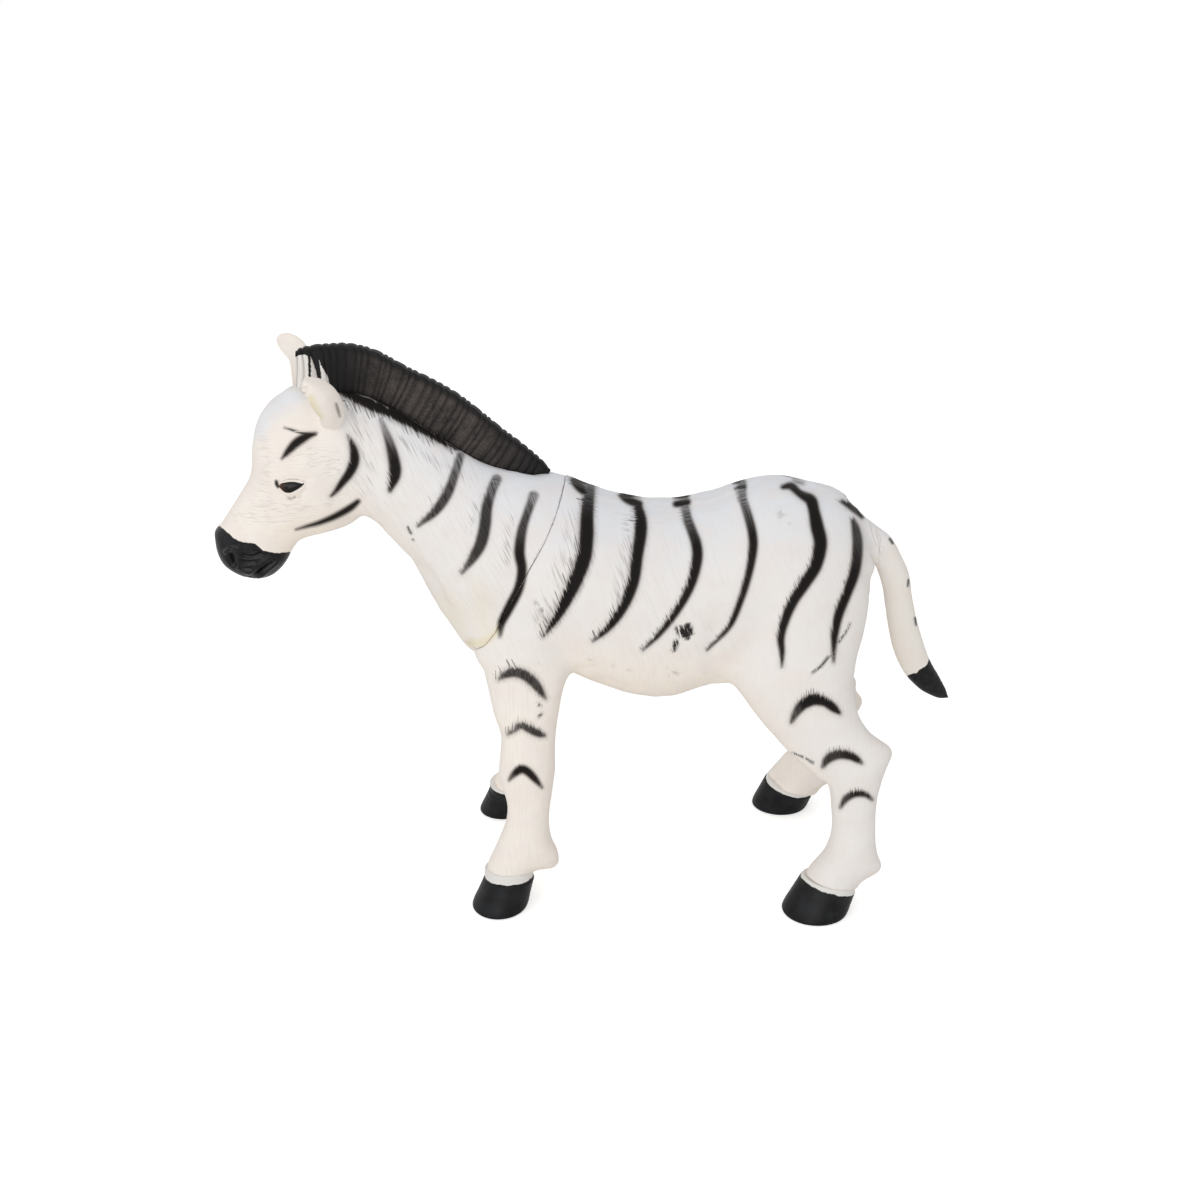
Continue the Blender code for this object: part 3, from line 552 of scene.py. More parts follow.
def hold_off_fillings(mesh):
    """Moves the skin out, softly, wherever it has come too near the filling under it."""
    points = points_of(mesh)
    push = np.zeros_like(points)
    for node in FILLINGS:
        filling = copy_of(node)
        filling_tree = BVHTree.FromBMesh(filling)
        filling.free()
        for index, point in enumerate(points):
            place, normal, _, _ = filling_tree.find_nearest(Vector(point), FILLING_NEAR)
            if place is not None:
                short = SKIN_OVER_FILLING - (Vector(point) - place).dot(normal)
                push[index] += np.array(normal) * max(short, 0.0)
    put_points(mesh, points + relaxed(mesh, push, PUSH_RELAX))


draw_to_outlines(whole.data)
hold_off_fillings(whole.data)


# Head skin and body skin: the two mouldings, which meet at an oblique seam from the withers to the chest and
# are glued there. Each takes the whole skin on its own side of the seam, with a fine groove between them.
SEAM_TOP = Vector((-0.00765, 0.0, 0.15201))
SEAM_FOOT = Vector((-0.04408, 0.0, 0.09195))
SEAM_HALF_GAP = 0.05 * MM
SEAM_LIP = 0.6 * MM
SEAM_SINK = 0.16 * MM
# Where each leg ends in a flat cut: a place on the cut, and the way up the leg
HOOF_JOINTS = {
    "hoof_front_left": ((-0.03042, -0.0302, 0.01427), (0.0, 0.1378, 0.9905)),
    "hoof_front_right": ((-0.0328, 0.0302, 0.01417), (0.0, -0.1378, 0.9905)),
    "hoof_hind_left": ((0.08532, -0.03405, 0.01187), (0.2180, 0.1292, 0.9673)),
    "hoof_hind_right": ((0.08033, 0.03405, 0.01183), (0.245, -0.1292, 0.961)),
}
HOOF_REACH = 22 * MM
TAIL_CUT_X = 0.0999
TAIL_HALF_ROOM = 12 * MM
TAIL_CUT_ROOM = 4 * MM
TAIL_LOWEST_Z = 0.1
CUT_SNAP = 1e-7
CUT_CLEAR = 1e-6
# How far the seam bows back into the body, at heights up from its foot, in millimetres
SEAM_BOW_MM = (
    (-8, -4.6), (-1, -4.1), (2, -1.0), (5, 1.6), (10, 3.4), (16, 4.0), (25, 3.1), (35, 2.7), (43, 2.3),
    (52, 2.3), (60, 1.5), (66, 0.2), (71, -1.0),
)
seam_up = (SEAM_TOP - SEAM_FOOT).normalized()
seam_way = Vector((0, 1, 0)).cross(seam_up)


def seam_bow(points):
    """How far the seam bows back at the height of each point."""
    up = (points - np.array(SEAM_FOOT)) @ np.array(seam_up) / MM
    heights, bows = np.array(SEAM_BOW_MM).T
    return np.interp(up, heights, bows) * MM


def unbend_seam(form, turn):
    """Straightens the bowed seam for a flat cut, with a turn of 1, or bends it back, with -1."""
    places = np.array([v.co for v in form.verts])
    moved = places - turn * np.array(seam_way) * seam_bow(places)[:, None]
    for point, place in zip(form.verts, moved):
        point.co = place


def side_of(mesh, place, way):
    """A copy of a mesh with only what lies behind the bowed seam, open where it was cut."""
    form = bmesh.new()
    form.from_mesh(mesh)
    unbend_seam(form, 1)
    bmesh.ops.bisect_plane(form, geom=form.verts[:] + form.edges[:] + form.faces[:], dist=CUT_SNAP,
                           plane_co=place, plane_no=way, clear_outer=True)
    unbend_seam(form, -1)
    return form


def cut_faces(form, faces, place, way):
    """Cuts only some of a form's faces along a plane."""
    around = list({v for face in faces for v in face.verts}) + list({e for face in faces for e in face.edges})
    bmesh.ops.bisect_plane(form, geom=around + faces, dist=CUT_SNAP, plane_co=place, plane_no=way)


head_form = side_of(whole.data, SEAM_TOP - seam_way * SEAM_HALF_GAP, seam_way)
body_form = side_of(whole.data, SEAM_TOP + seam_way * SEAM_HALF_GAP, -seam_way)

for place, way in HOOF_JOINTS.values():
    place, way = Vector(place), Vector(way)
    leg_end = [face for face in body_form.faces if (face.calc_center_median() - place).length < HOOF_REACH]
    cut_faces(body_form, leg_end, place, way)
    below = [v for v in body_form.verts
             if (v.co - place).length < HOOF_REACH and (v.co - place).dot(way) < -CUT_CLEAR]
    bmesh.ops.delete(body_form, geom=below, context="VERTS")

tail_root = [face for face in body_form.faces if abs(face.calc_center_median().y) < TAIL_HALF_ROOM
             and abs(face.calc_center_median().x - TAIL_CUT_X) < TAIL_CUT_ROOM
             and face.calc_center_median().z > TAIL_LOWEST_Z]
cut_faces(body_form, tail_root, (TAIL_CUT_X, 0, 0), (1, 0, 0))
tail_form = body_form.copy()
bmesh.ops.delete(tail_form, context="VERTS", geom=[
    v for v in tail_form.verts if v.co.x < TAIL_CUT_X - CUT_CLEAR or abs(v.co.y) > TAIL_HALF_ROOM])
bmesh.ops.delete(body_form, context="VERTS", geom=[
    v for v in body_form.verts if v.co.x > TAIL_CUT_X + CUT_CLEAR and abs(v.co.y) < TAIL_HALF_ROOM])

for form in (head_form, body_form, tail_form):
    fill_holes(form)


def refine_where(form, wanted):
    """Cuts each face of a region into four."""
    faces = [face for face in form.faces if len(face.verts) < 6 and wanted(face.calc_center_median())]
    edges = list({edge for face in faces for edge in face.edges})
    bmesh.ops.subdivide_edges(form, edges=edges, cuts=1, use_grid_fill=True)


refine_where(head_form, lambda place: place.x < FACE_BACK)
refine_where(head_form, lambda place: (Vector((place.x, abs(place.y), place.z)) - EYE_SPOT).length < EYE_ZONE
             or place.x < MUZZLE_BACK)
refine_where(tail_form, lambda place: place.x > TAIL_CUT_X + 0.2 * MM)

head_skin = object_of("head_skin", head_form)
body_skin = object_of("body_skin", body_form)
tail_piece = object_of("tail_vinyl", tail_form)
bpy.data.objects.remove(whole)
carve(head_skin.data, CARVED_FINE)
# The edges of both mouldings are rounded in towards the seam
for piece in (head_skin, body_skin):
    points = points_of(piece.data)
    away = np.abs((points - np.array(SEAM_TOP)) @ np.array(seam_way) - seam_bow(points)) - SEAM_HALF_GAP
    lip = np.clip(1.0 - away / SEAM_LIP, 0.0, 1.0)
    put_points(piece.data, points - normals_of(piece.data) * (SEAM_SINK * lip**2)[:, None])


# Paint: thinned black vinyl paint, sprayed through masks after casting. It caught on the carved hairs, so
# that its edges are ragged along them. Each stripe is a line in the photograph's pixels with its width there;
# a mark's fourth value is how thickly it is laid. Both sides are sprayed alike.
STRIPES = {
    "brow": ((282, 458.5, 2), (288, 451.5, 6.5), (295, 444, 9), (302, 439, 9), (308, 436, 7),
        (315, 433.8, 3.5)),
    "cheek": ((348.5, 436, 2), (352, 444, 6), (354.5, 454, 9.5), (354, 463, 10.5), (349.5, 473, 9.5),
        (342, 483, 7.5), (336, 491, 5), (331, 496, 2)),
    "jaw": ((296, 529.5, 1.5), (308, 526, 3.5), (320, 522.5, 5), (335.7, 516, 6.5), (350, 508, 7),
        (358, 501.5, 5)),
    "neck_1": ((380.6, 419, 3, 0.7), (389, 441, 9, 0.9), (394, 460.6, 12), (395, 475, 12), (390, 491, 4)),
    "neck_2": ((460.5, 455.7, 8, 0.8), (454.5, 475, 9, 0.9), (447, 494.5, 10, 0.95), (435, 511.5, 9, 0.95),
        (418, 526, 3, 0.9)),
    "neck_3": ((496.5, 479.5, 10, 0.80), (491.5, 491, 10, 0.86), (487, 507, 11, 0.96), (485, 525, 12, 0.97),
        (481, 543, 12, 0.97), (473, 558, 9, 0.96), (462, 573, 3, 0.85)),
    "neck_4": ((533.5, 496, 10, 0.78), (531, 503, 9, 0.80), (526, 517, 8.5, 0.94), (521.5, 533, 10, 0.96),
        (519.5, 552.7, 11), (522, 570, 10), (518.5, 589, 10), (509, 608, 10), (501.5, 623, 8),
        (500, 637, 3, 0.8)),
    "ribs_1_cap": ((572, 480.5, 4), (576, 484, 8), (582, 489, 10), (588, 493, 9)),
    "ribs_1": ((589, 490.5, 13, 0.9), (588, 503, 13, 0.97), (587, 520, 14), (586.5, 538, 15), (583, 562, 15),
        (571, 591, 13), (557, 617, 9), (543.5, 636, 2.5)),
    "ribs_2_cap": ((618, 493.5, 2.5), (625, 498, 8), (633, 502, 9), (639, 504, 8)),
    "ribs_2": ((638, 507, 10), (641, 520, 12), (640.5, 535, 13), (637.5, 555, 12), (632.8, 584, 12),
        (621, 611, 10), (606, 630, 7), (593, 641, 2.5)),
    "ribs_3_cap": ((676, 504, 7), (681, 503.2, 8), (687, 502, 8)),
    "ribs_3": ((685.5, 509, 9, 0.80), (687.5, 519, 9.5, 0.90), (692, 531, 10, 0.96), (696.5, 545, 11),
        (697, 561, 11), (690.4, 586, 9.5), (677, 611, 7.5), (659.5, 634, 5.5), (643, 650, 2)),
    "ribs_4_cap": ((736, 488.5, 3.5), (740, 487.2, 5)),
    "ribs_4": ((742, 480, 9, 0.74), (742, 483.5, 9, 0.76), (742, 486.8, 9.5, 1.0), (742, 490, 9, 0.78),
        (742.3, 496, 9, 0.76), (744, 503, 8.5, 0.86), (748.5, 517, 9, 0.95), (752.5, 534, 9.5),
        (753, 549, 9.5), (749, 573, 8), (740.5, 601, 7), (729, 627, 5.5), (707, 650, 2)),
    "rump_1_cap": ((783, 487, 5), (791, 486, 8), (797, 490.5, 7)),
    "rump_1": ((793, 489, 6), (803, 495.5, 9), (811, 500.5, 12), (814, 511, 12), (817, 526, 14),
        (820.5, 544, 14), (816, 565, 13), (806, 582, 12), (793.5, 601, 10.5), (785, 621, 9), (781, 637, 8),
        (782, 652, 6), (782, 667, 2)),
    "rump_streak": ((795, 481.5, 2, 0.8), (802, 483, 2, 0.8)),
    "rump_2": ((853, 520, 5, 0.93), (856, 530, 9, 0.96), (857.6, 546, 11, 0.97), (855, 571, 11),
        (846.5, 595, 10), (838.5, 616, 9.5), (834.5, 637, 7.5), (833.5, 662, 2.5)),
    "dock": ((842, 501.5, 4), (852, 507.5, 7), (862, 517, 4)),
    "foreleg_1": ((499, 679, 3, 0.9), (506, 674.5, 8, 0.94), (516, 672.5, 10, 0.95), (526, 676, 10.5, 0.95),
        (535, 684, 10, 0.95), (541, 692, 7, 0.96), (545, 698, 3, 0.96)),
    "foreleg_2": ((508, 734, 3, 0.85), (514, 730.5, 5, 0.88), (521, 725.5, 7, 0.93), (530, 729.5, 8, 0.96),
        (538, 733.5, 7.5, 0.97), (544, 735.5, 4, 0.97)),
    "foreleg_3": ((509, 780.5, 2.5, 0.88), (512, 776.5, 5, 0.93), (516, 772.5, 7.5), (521.5, 769, 8.5),
        (528, 772, 8.5), (535, 779, 7), (542, 787.5, 2.5)),
    "thigh_1": ((791.6, 722, 4, 0.92), (796, 713, 8, 0.94), (804, 704, 11), (814.5, 699.5, 12.5),
        (825, 702, 10), (833, 707.5, 9), (839.5, 713, 4)),
    "thigh_2": ((823, 766.7, 4, 0.94), (828, 759, 9, 0.96), (838, 754.5, 10, 0.97), (849, 755.5, 9),
        (857, 759.5, 7), (862, 763.4, 3)),
    "shank": ((840.4, 807.5, 3, 0.93), (846.3, 798.5, 7, 0.95), (855, 794, 7), (865, 794.5, 6),
        (872, 799.5, 3)),
    # Black overspray along the crest's foot, laid also as painted shadow under the crest
    "mane_shadow": ((322, 379, 5), (340, 389, 10), (368, 402.5, 13), (400, 416.5, 12), (436, 437, 9),
        (458, 449, 5)),
}
# How long the hairs of each stripe's combed edge are, and 1 for any that isn't named
CALM_STRIPES = {
    "brow": 0.22, "cheek": 0.45, "jaw": 0.08, "neck_1": 0.5, "neck_2": 0.28, "neck_3": 0.3, "neck_4": 0.15,
    "ribs_1": 0.95, "ribs_2": 0.6, "ribs_3": 0.38, "ribs_4": 0.28, "rump_1": 0.42, "rump_2": 0.42,
    "dock": 0.5, "ribs_1_cap": 0.5, "ribs_2_cap": 0.35, "ribs_3_cap": 0.15, "ribs_4_cap": 0.15,
    "rump_1_cap": 0.3, "foreleg_1": 0.8, "foreleg_2": 0.6, "foreleg_3": 0.2, "thigh_1": 0.5, "thigh_2": 0.45,
    "shank": 0.3, "mane_shadow": 5.0,
}
SOLID_BLACK = {
    "muzzle": ((200, 519), (219, 525.5), (226, 531), (232, 536.5), (238, 541), (245, 542.3), (251.5, 543.2),
        (256, 544), (259, 547), (263, 550.5), (270, 552), (278, 553), (288, 552), (310, 553), (310, 620),
        (200, 620)),
    "tail_tip": ((940, 640), (931, 655), (928.5, 659), (927.5, 664), (923, 668), (919, 669.5), (917, 673),
        (912.5, 673.5), (908, 675.5), (900, 676), (900, 720), (970, 720), (970, 640)),
}
PAINT_REACH_PX = 16
# How deep the paint goes down where the skin turns away from the side that was sprayed
TURNED_AWAY_MM = 6.0
# Grime on belly and rump, dried glue at the seam, vinyl that it yellowed, specks and scratches of paint,
# and among the flecks painted shade in the brow's crease and along the upper lid
STAINS = (
    (629, 669, 9), (672, 672, 13), (540, 668, 9), (702, 672, 4), (590, 660, 5), (781, 514, 10), (788, 520, 8),
    (580, 676, 5), (612, 664, 5),
)
GLUE = ((500, 626, 2), (492, 636, 3), (480, 643, 5), (470, 642, 4))
YELLOWED = (((448, 600, 12), (455, 622, 18)), ((478, 585, 8), (483, 612, 12), (486, 628, 12)))
FLECKS_AND_CREASE_SHADE = (
    ((678, 629, 6), (684, 632, 11), (689, 630, 8)), ((676, 642, 5), (674, 650, 4)),
    ((535, 602, 1), (536.5, 603, 1.5)), ((541, 610, 1.5), (542, 611, 1.5)),
    ((850, 624, 1.0), (846, 632, 1.2), (838, 643, 1.5)), ((829, 656, 2), (821, 666, 2), (812, 673, 1.2)),
    ((408, 527, 2), (411, 533, 2.5)), ((413, 540, 1.5),) * 2, ((890, 539, 2), (892.5, 543, 2)),
    ((908.5, 580, 1.5), (908, 586, 1.5)), ((915, 618, 1.5), (916, 625, 1.2)),
    ((793, 753, 1.2), (805, 758, 1.0), (813, 763, 1.5)), ((538, 703, 1.5), (541, 706, 2)),
    ((538, 717, 2), (542, 714, 2)), ((276.2, 481.3, 2.4), (276.7, 484, 3.2), (278.0, 486.6, 2.6)),
    # Painted shade in the brow's crease, then painted shadow along the upper lid
    ((284, 427.3, 0.8), (292, 430, 1.7), (301, 432.8, 1.9), (310, 434.2, 1.7), (316, 434.4, 0.6)),
    ((279, 482.4, -1.4), (286, 479.8, -0.9), (294, 479.2, -0.7), (302, 480.4, -0.9), (306, 481.8, -1.4)),
    ((688, 626, 6), (692, 634, 3)), ((683, 634, 7), (688, 638, 4)),
)
# Painted shadow under the lower lid, laid with the grime
LID_SHADE = ((285, 495.5, 2), (291, 497.0, 5), (297, 495.6, 4.5), (302, 492.6, 2))
# Where the combed grooves run deep and are darkened with painted shade: behind the cheek, along the mane, on
# the flank and at the dock
FURROWS = (
    ((338, 392, 6), (352, 405, 9), (362, 430, 12), (368, 462, 10), (366, 490, 5)),
    ((372, 402, 10), (400, 418, 9)), ((400, 440, 4), (440, 466, 5), (470, 480, 4)),
    ((575, 515, 12), (565, 560, 16), (548, 600, 14), (536, 630, 8)),
    ((628, 520, 8), (624, 560, 8), (616, 600, 6)), ((868, 526, 5), (876, 537, 7), (884, 552, 5)),
    ((430, 500, 6), (442, 490, 6)), ((470, 530, 6), (478, 500, 6)), ((505, 560, 8), (512, 520, 6)),
)
# Painted bluish shade on the forehead, laid with the painted bluish light on top
FOREHEAD_SHADE = ((258, 432, 6), (266, 414, 12), (277, 404, 16), (290, 398, 14), (300, 396, 6))
# Face wrinkles: grooves carved a little deeper and darkened with painted shade
WRINKLES = (
    ((300, 452, 26), (335, 465, 24)), ((240, 515, 16), (285, 512, 26), (310, 510, 12)),
    ((262, 440, 10), (268, 470, 10), (262, 495, 12)), ((330, 500, 14), (350, 480, 12)),
)
# How the carved hair leans from upright in each region, as the camera sees it. Each but the first is also the
# name of the value that fades the region in over those before it.
HAIR_LEANS = {
    "hair_flank": math.radians(-20), "hair_neck": math.radians(-27), "hair_leg": 0.0,
    "hair_face": math.radians(87),
}


def set_values(mesh, name, values):
    """Stores a value for each point of a mesh, or one value for them all."""
    filled = np.full(len(mesh.vertices), values, dtype=np.float32)
    mesh.attributes.new(name, "FLOAT", "POINT").data.foreach_set("value", filled)


def spray(pixels, lines, reach):
    """How deep pixels lie in the nearest line, how thick and how ragged its paint is, and the way in."""
    inside = np.full(len(pixels), -float(reach))
    thickness, ragged, inward = np.ones(len(pixels)), np.ones(len(pixels)), np.zeros((len(pixels), 2))
    for name, line in lines.items():
        line = curve_through(np.array([(*knot, 1.0)[:4] for knot in line]))
        low, high = line[:, :2].min(0) - reach, line[:, :2].max(0) + reach
        near = np.flatnonzero(np.all((pixels > low) & (pixels < high), axis=1))
        for start, end in zip(line, line[1:]):
            span = end[:2] - start[:2]
            share = np.clip((pixels[near] - start[:2]) @ span / (span @ span + 1e-9), 0.0, 1.0)
            middle = start + share[:, None] * (end - start)
            way = middle[:, :2] - pixels[near]
            away = np.linalg.norm(way, axis=1)
            depth = middle[:, 2] / 2 - away
            deeper = depth > inside[near]
            found = near[deeper]
            inside[found], thickness[found] = depth[deeper], middle[deeper, 3]
            ragged[found] = CALM_STRIPES.get(name, 1.0)
            inward[found] = way[deeper] / (away[deeper, None] + 1e-6)
    return inside, thickness, ragged, inward


def into_outline(pixels, outline):
    """Signed distance into a closed outline, in pixels."""
    outline = np.asarray(outline, dtype=float)
    closed = np.vstack([outline, outline[:1]])
    inside = np.zeros(len(pixels), dtype=bool)
    for (ax, ay), (bx, by) in zip(closed, closed[1:]):
        crosses = (ay > pixels[:, 1]) != (by > pixels[:, 1])
        at = ax + (pixels[:, 1] - ay) * (bx - ax) / (by - ay + 1e-12)
        inside ^= crosses & (pixels[:, 0] < at)
    return np.where(inside, 1.0, -1.0) * distance_to_line(pixels, closed)


def near_lines(pixels, lines, low, high):
    """From 0 at a distance of -low pixels outside lines to 1 at high pixels inside them."""
    return smooth_step(spray(pixels, dict(enumerate(lines)), PAINT_REACH_PX)[0], low, high)


def lie_of_hair(points, normals):
    """How much of each lie of the hair there is at each point, and the way it points in the photograph."""
    x, z = points[:, 0], points[:, 2]
    face = smooth_step(-x, 0.077, 0.087)
    top = smooth_step(normals[:, 2], 0.66, 0.88) * (1 - face) * smooth_step(z, 0.12, 0.14)
    tail = smooth_step(x, 0.098, 0.104)
    shares = {"hair_neck": smooth_step(-x, 0.010, 0.030), "hair_face": face, "hair_top": top,
              "hair_front": smooth_step(np.abs(normals[:, 0]), 0.60, 0.85) * (1 - face) * (1 - top),
              "hair_leg": np.maximum(smooth_step(-z, -0.098, -0.084), tail)}
    way = np.zeros((len(points), 2))
    for name, lean in (*HAIR_LEANS.items(), ("hair_top", math.radians(90))):
        share = shares.get(name, np.ones(len(points)))[:, None]
        way = way * (1 - share) + np.array([math.sin(lean), -math.cos(lean)]) * share
    return shares, way / np.linalg.norm(way, axis=1)[:, None]


def paint(mesh):
    """Lays the paint, the stains, the painted light and shade and the lie of the hair on a mesh, as values.

    Depths into the paint are in millimetres, and below 0 outside it. The rest are shares.
    """
    points, normals = points_of(mesh), normals_of(mesh)
    pixels, depth = pixels_of(points)
    mm_per_px = depth / FOCAL_PX / MM
    toward = np.array(camera_way) * np.where(points[:, 1:2] > 0, (1, -1, 1), (1, 1, 1))
    outward = smooth_step((normals * toward).sum(axis=1), -0.35, 0.0)
    shares, hair_way = lie_of_hair(points, normals)
    inside, thickness, ragged, inward = spray(pixels, STRIPES, PAINT_REACH_PX)
    tilt = (inward * hair_way).sum(axis=1)
    x, z = points[:, 0], points[:, 2]
    face = shares["hair_face"]
    neck = shares["hair_neck"] * (1 - face)
    combed_side = inward @ np.array((0.7, 0.7)) * (1 - face) - 1.2 * inward[:, 0] * face
    solid = np.max([into_outline(pixels, outline) for outline in SOLID_BLACK.values()], axis=0)
    # Painted shade in the furrows and the face's wrinkles, where the carving also runs deeper
    furrow = np.maximum(near_lines(pixels, FURROWS, -7.0, 3.0),
                        0.75 * near_lines(pixels, WRINKLES, -8.0, 6.0))
    grime = near_lines(pixels, [(knot, knot) for knot in STAINS], -4.0, 6.0)
    yellowed = 0.36 * near_lines(pixels, YELLOWED, -14.0, 8.0)
    # Creamier low down and towards the face; painted warm bounce light on faces turned down, and painted
    # light on the far legs, which the near ones shade
    low_down = smooth_step(-z, -0.115, -0.07) * smooth_step(-x, -0.1, 0.0)
    under = smooth_step(-normals[:, 2], 0.0, 0.8)
    far_legs_lightened = smooth_step(points[:, 1], 0.0, 0.02) * smooth_step(-z, -0.09, -0.05)
    cream = 0.5 * low_down + 0.6 * under + 0.5 * smooth_step(-x, 0.07, 0.10) + 0.35 * far_legs_lightened
    fur = 0.45 + 0.55 * neck + 0.3 * smooth_step(x, 0.0, 0.02) * smooth_step(-x, -0.06, -0.01)
    # Painted bluish light on faces turned up, over the back, neck and rump
    up = smooth_step(normals[:, 2], -0.1, 1.0) * (1 - face) * smooth_step(z, 0.10, 0.15)
    values = {
        "paint_mm": inside * mm_per_px - (1.0 - outward) * TURNED_AWAY_MM,
        "paint_thickness": thickness,
        "ragged": np.minimum(ragged, 1.0),
        "paint_tilt": np.abs(tilt) * np.clip(0.3 + combed_side, 0.2, 1.0) * ragged,
        "solid_black_mm": solid * mm_per_px,
        # Real grime, and painted shadow under the lower lid
        "smudge": np.maximum(grime, 1.3 * near_lines(pixels, [LID_SHADE], -3.0, 1.6)) * outward,
        "glue": np.maximum(near_lines(pixels, [GLUE], -5.0, 1.0), yellowed) * outward
        + 0.2 * smooth_step(x, 0.100, 0.106),
        # Paint specks, and painted shade in the brow's crease and along the upper lid
        "fleck_and_crease_shade": near_lines(pixels, FLECKS_AND_CREASE_SHADE, -1.6, 0.9) * outward,
        "furrow": furrow,
        "cool_light_and_shade": np.maximum(up, 0.9 * near_lines(pixels, [FOREHEAD_SHADE], -14.0, 6.0)),
        "cream": np.clip(cream, 0.0, 1.0),
        "carved": np.clip((0.55 * fur + 0.7 * furrow) * (1 - 0.3 * face), 0.0, 1.2),
        **shares,
    }
    for name, amount in values.items():
        set_values(mesh, name, amount)


for piece in (head_skin, body_skin, tail_piece):
    paint(piece.data)
    piece.data.shade_smooth()


# Vinyl skin material: soft PVC, cast matt from a carved mould, warm white, cream low down and at the face.
# On top it takes painted bluish light, below painted warm bounce light, and in its grooves painted shade.
# To the eye that is a broad dull sheen, fine combed grooves, faint mottling and the black paint on them.
VINYL_WHITE = "#ECE8E4"
VINYL_COOL_LIGHT = "#E3E6EC"
VINYL_CREAM_AND_BOUNCE = "#FBF1E4"
VINYL_BLUSH = "#EBDFD9"
GROOVE_SHADE_GREY = "#6E6664"
PAINT_BLACK = "#161413"
PAINT_THIN = "#3B302B"
SOLID_DULL = "#070708"
SOLID_WORN_AND_SHEEN = "#15161A"
GLUE_TINT = "#E3D5A4"
SMUDGE_AND_SHADE_GREY = "#9A968C"
FLECK_AND_SHADE_BLACK = "#1E1A19"
# Locks are as wide as the mould's grooves, hairs half as wide, and strands are single long hairs of paint
LOCK_ACROSS_MM = 0.95
LOCK_ALONG_MM = 11.0
HAIR_ACROSS_MM = 0.42
HAIR_ALONG_MM = 8.0
STRAND_ACROSS_MM = 0.399
STRAND_ALONG_MM = 10.4
FACE_HAIR_SHARE = 0.45
HAIR_DEPTH_REACH_MM = 16.0
HAIR_SHIFT = 0.013
STRAND_SHIFT = 0.031
WAVE_MM = 2.6
WAVE_SHARE = 3.2
LOCK_PULL_MM = 1.1
HAIR_PULL_MM = 2.4
STRAND_FLING_MM = 4.6
STRAND_COVER = 0.68
BARED_SHARE = 0.75
PAINT_FULLER_MM = 0.1
PAINT_SOFT_MM = 0.8
OVERSPRAY_MM = 2.6
BRUSH_WAVER_MM = 0.7
CLOUD_MM = 9
MOTTLE_MM = 2.2
WAVER_MM = 1.6
GRAIN_MM = 0.35
GROOVE_DEPTH_MM = 0.26
VINYL_ROUGHNESS = 0.44
VINYL_SHEEN = 0.2
VINYL_IOR = 1.53
LAID_VALUES = (
    "paint_mm", "paint_thickness", "ragged", "paint_tilt", "solid_black_mm", "smudge", "glue", "fleck_and_crease_shade",
    "furrow", "cool_light_and_shade", "cream", "carved",
)


def combed(tree, across_mm, along_mm, detail, shift=0.0):
    """Streaks that lie as the carved hair does in each region, wavy on the face and straight elsewhere."""
    place = add(tree, "TexCoord", out="Object")
    waves = add(tree, "TexNoise", {"Vector": place, "Scale": 1 / (WAVE_MM * MM), "Detail": 1.0}, out="Color")
    wander = (WAVE_SHARE * across_mm * MM,) * 3
    waved = add(tree, "VectorMath", waves, wander, place, operation="MULTIPLY_ADD")
    sizes = {name: (across_mm, HAIR_DEPTH_REACH_MM, along_mm) for name in HAIR_LEANS}
    sizes["hair_face"] = (across_mm, HAIR_DEPTH_REACH_MM, along_mm * FACE_HAIR_SHARE)
    sizes["hair_front"] = (HAIR_DEPTH_REACH_MM, across_mm, along_mm)
    sizes["hair_top"] = (along_mm, across_mm, HAIR_DEPTH_REACH_MM)
    streaks = None
    for name, size in sizes.items():
        source = waved if name == "hair_face" else place
        turn = (0.0, HAIR_LEANS.get(name, 0.0), 0.0)
        scale = [side * MM for side in size]
        laid = add(tree, "Mapping", source, (shift,) * 3, turn, scale, vector_type="TEXTURE")
        lie = add(tree, "TexNoise", {"Vector": laid, "Scale": 1.0, "Detail": detail})
        if streaks is None:
            streaks = lie
        else:
            share = add(tree, "Attribute", out="Fac", attribute_name=name)
            streaks = add(tree, "Mix", {0: share, 2: streaks, 3: lie})
    return streaks


def layered(tree, colour, *layers):
    """A colour with others laid over it in turn, each by its share."""
    for share, over in layers:
        colour = add(tree, "Mix", {0: share, 6: colour, 7: over}, out=2, data_type="RGBA")
    return colour


def finish_surface(tree, look, height, relief_mm, strength):
    """The shader with the given look, over a relief of the given height."""
    relief = add(tree, "Bump", {"Height": height, "Strength": strength, "Distance": relief_mm * MM})
    add(tree, "OutputMaterial", {"Surface": add(tree, "BsdfPrincipled", {**look, "Normal": relief})})


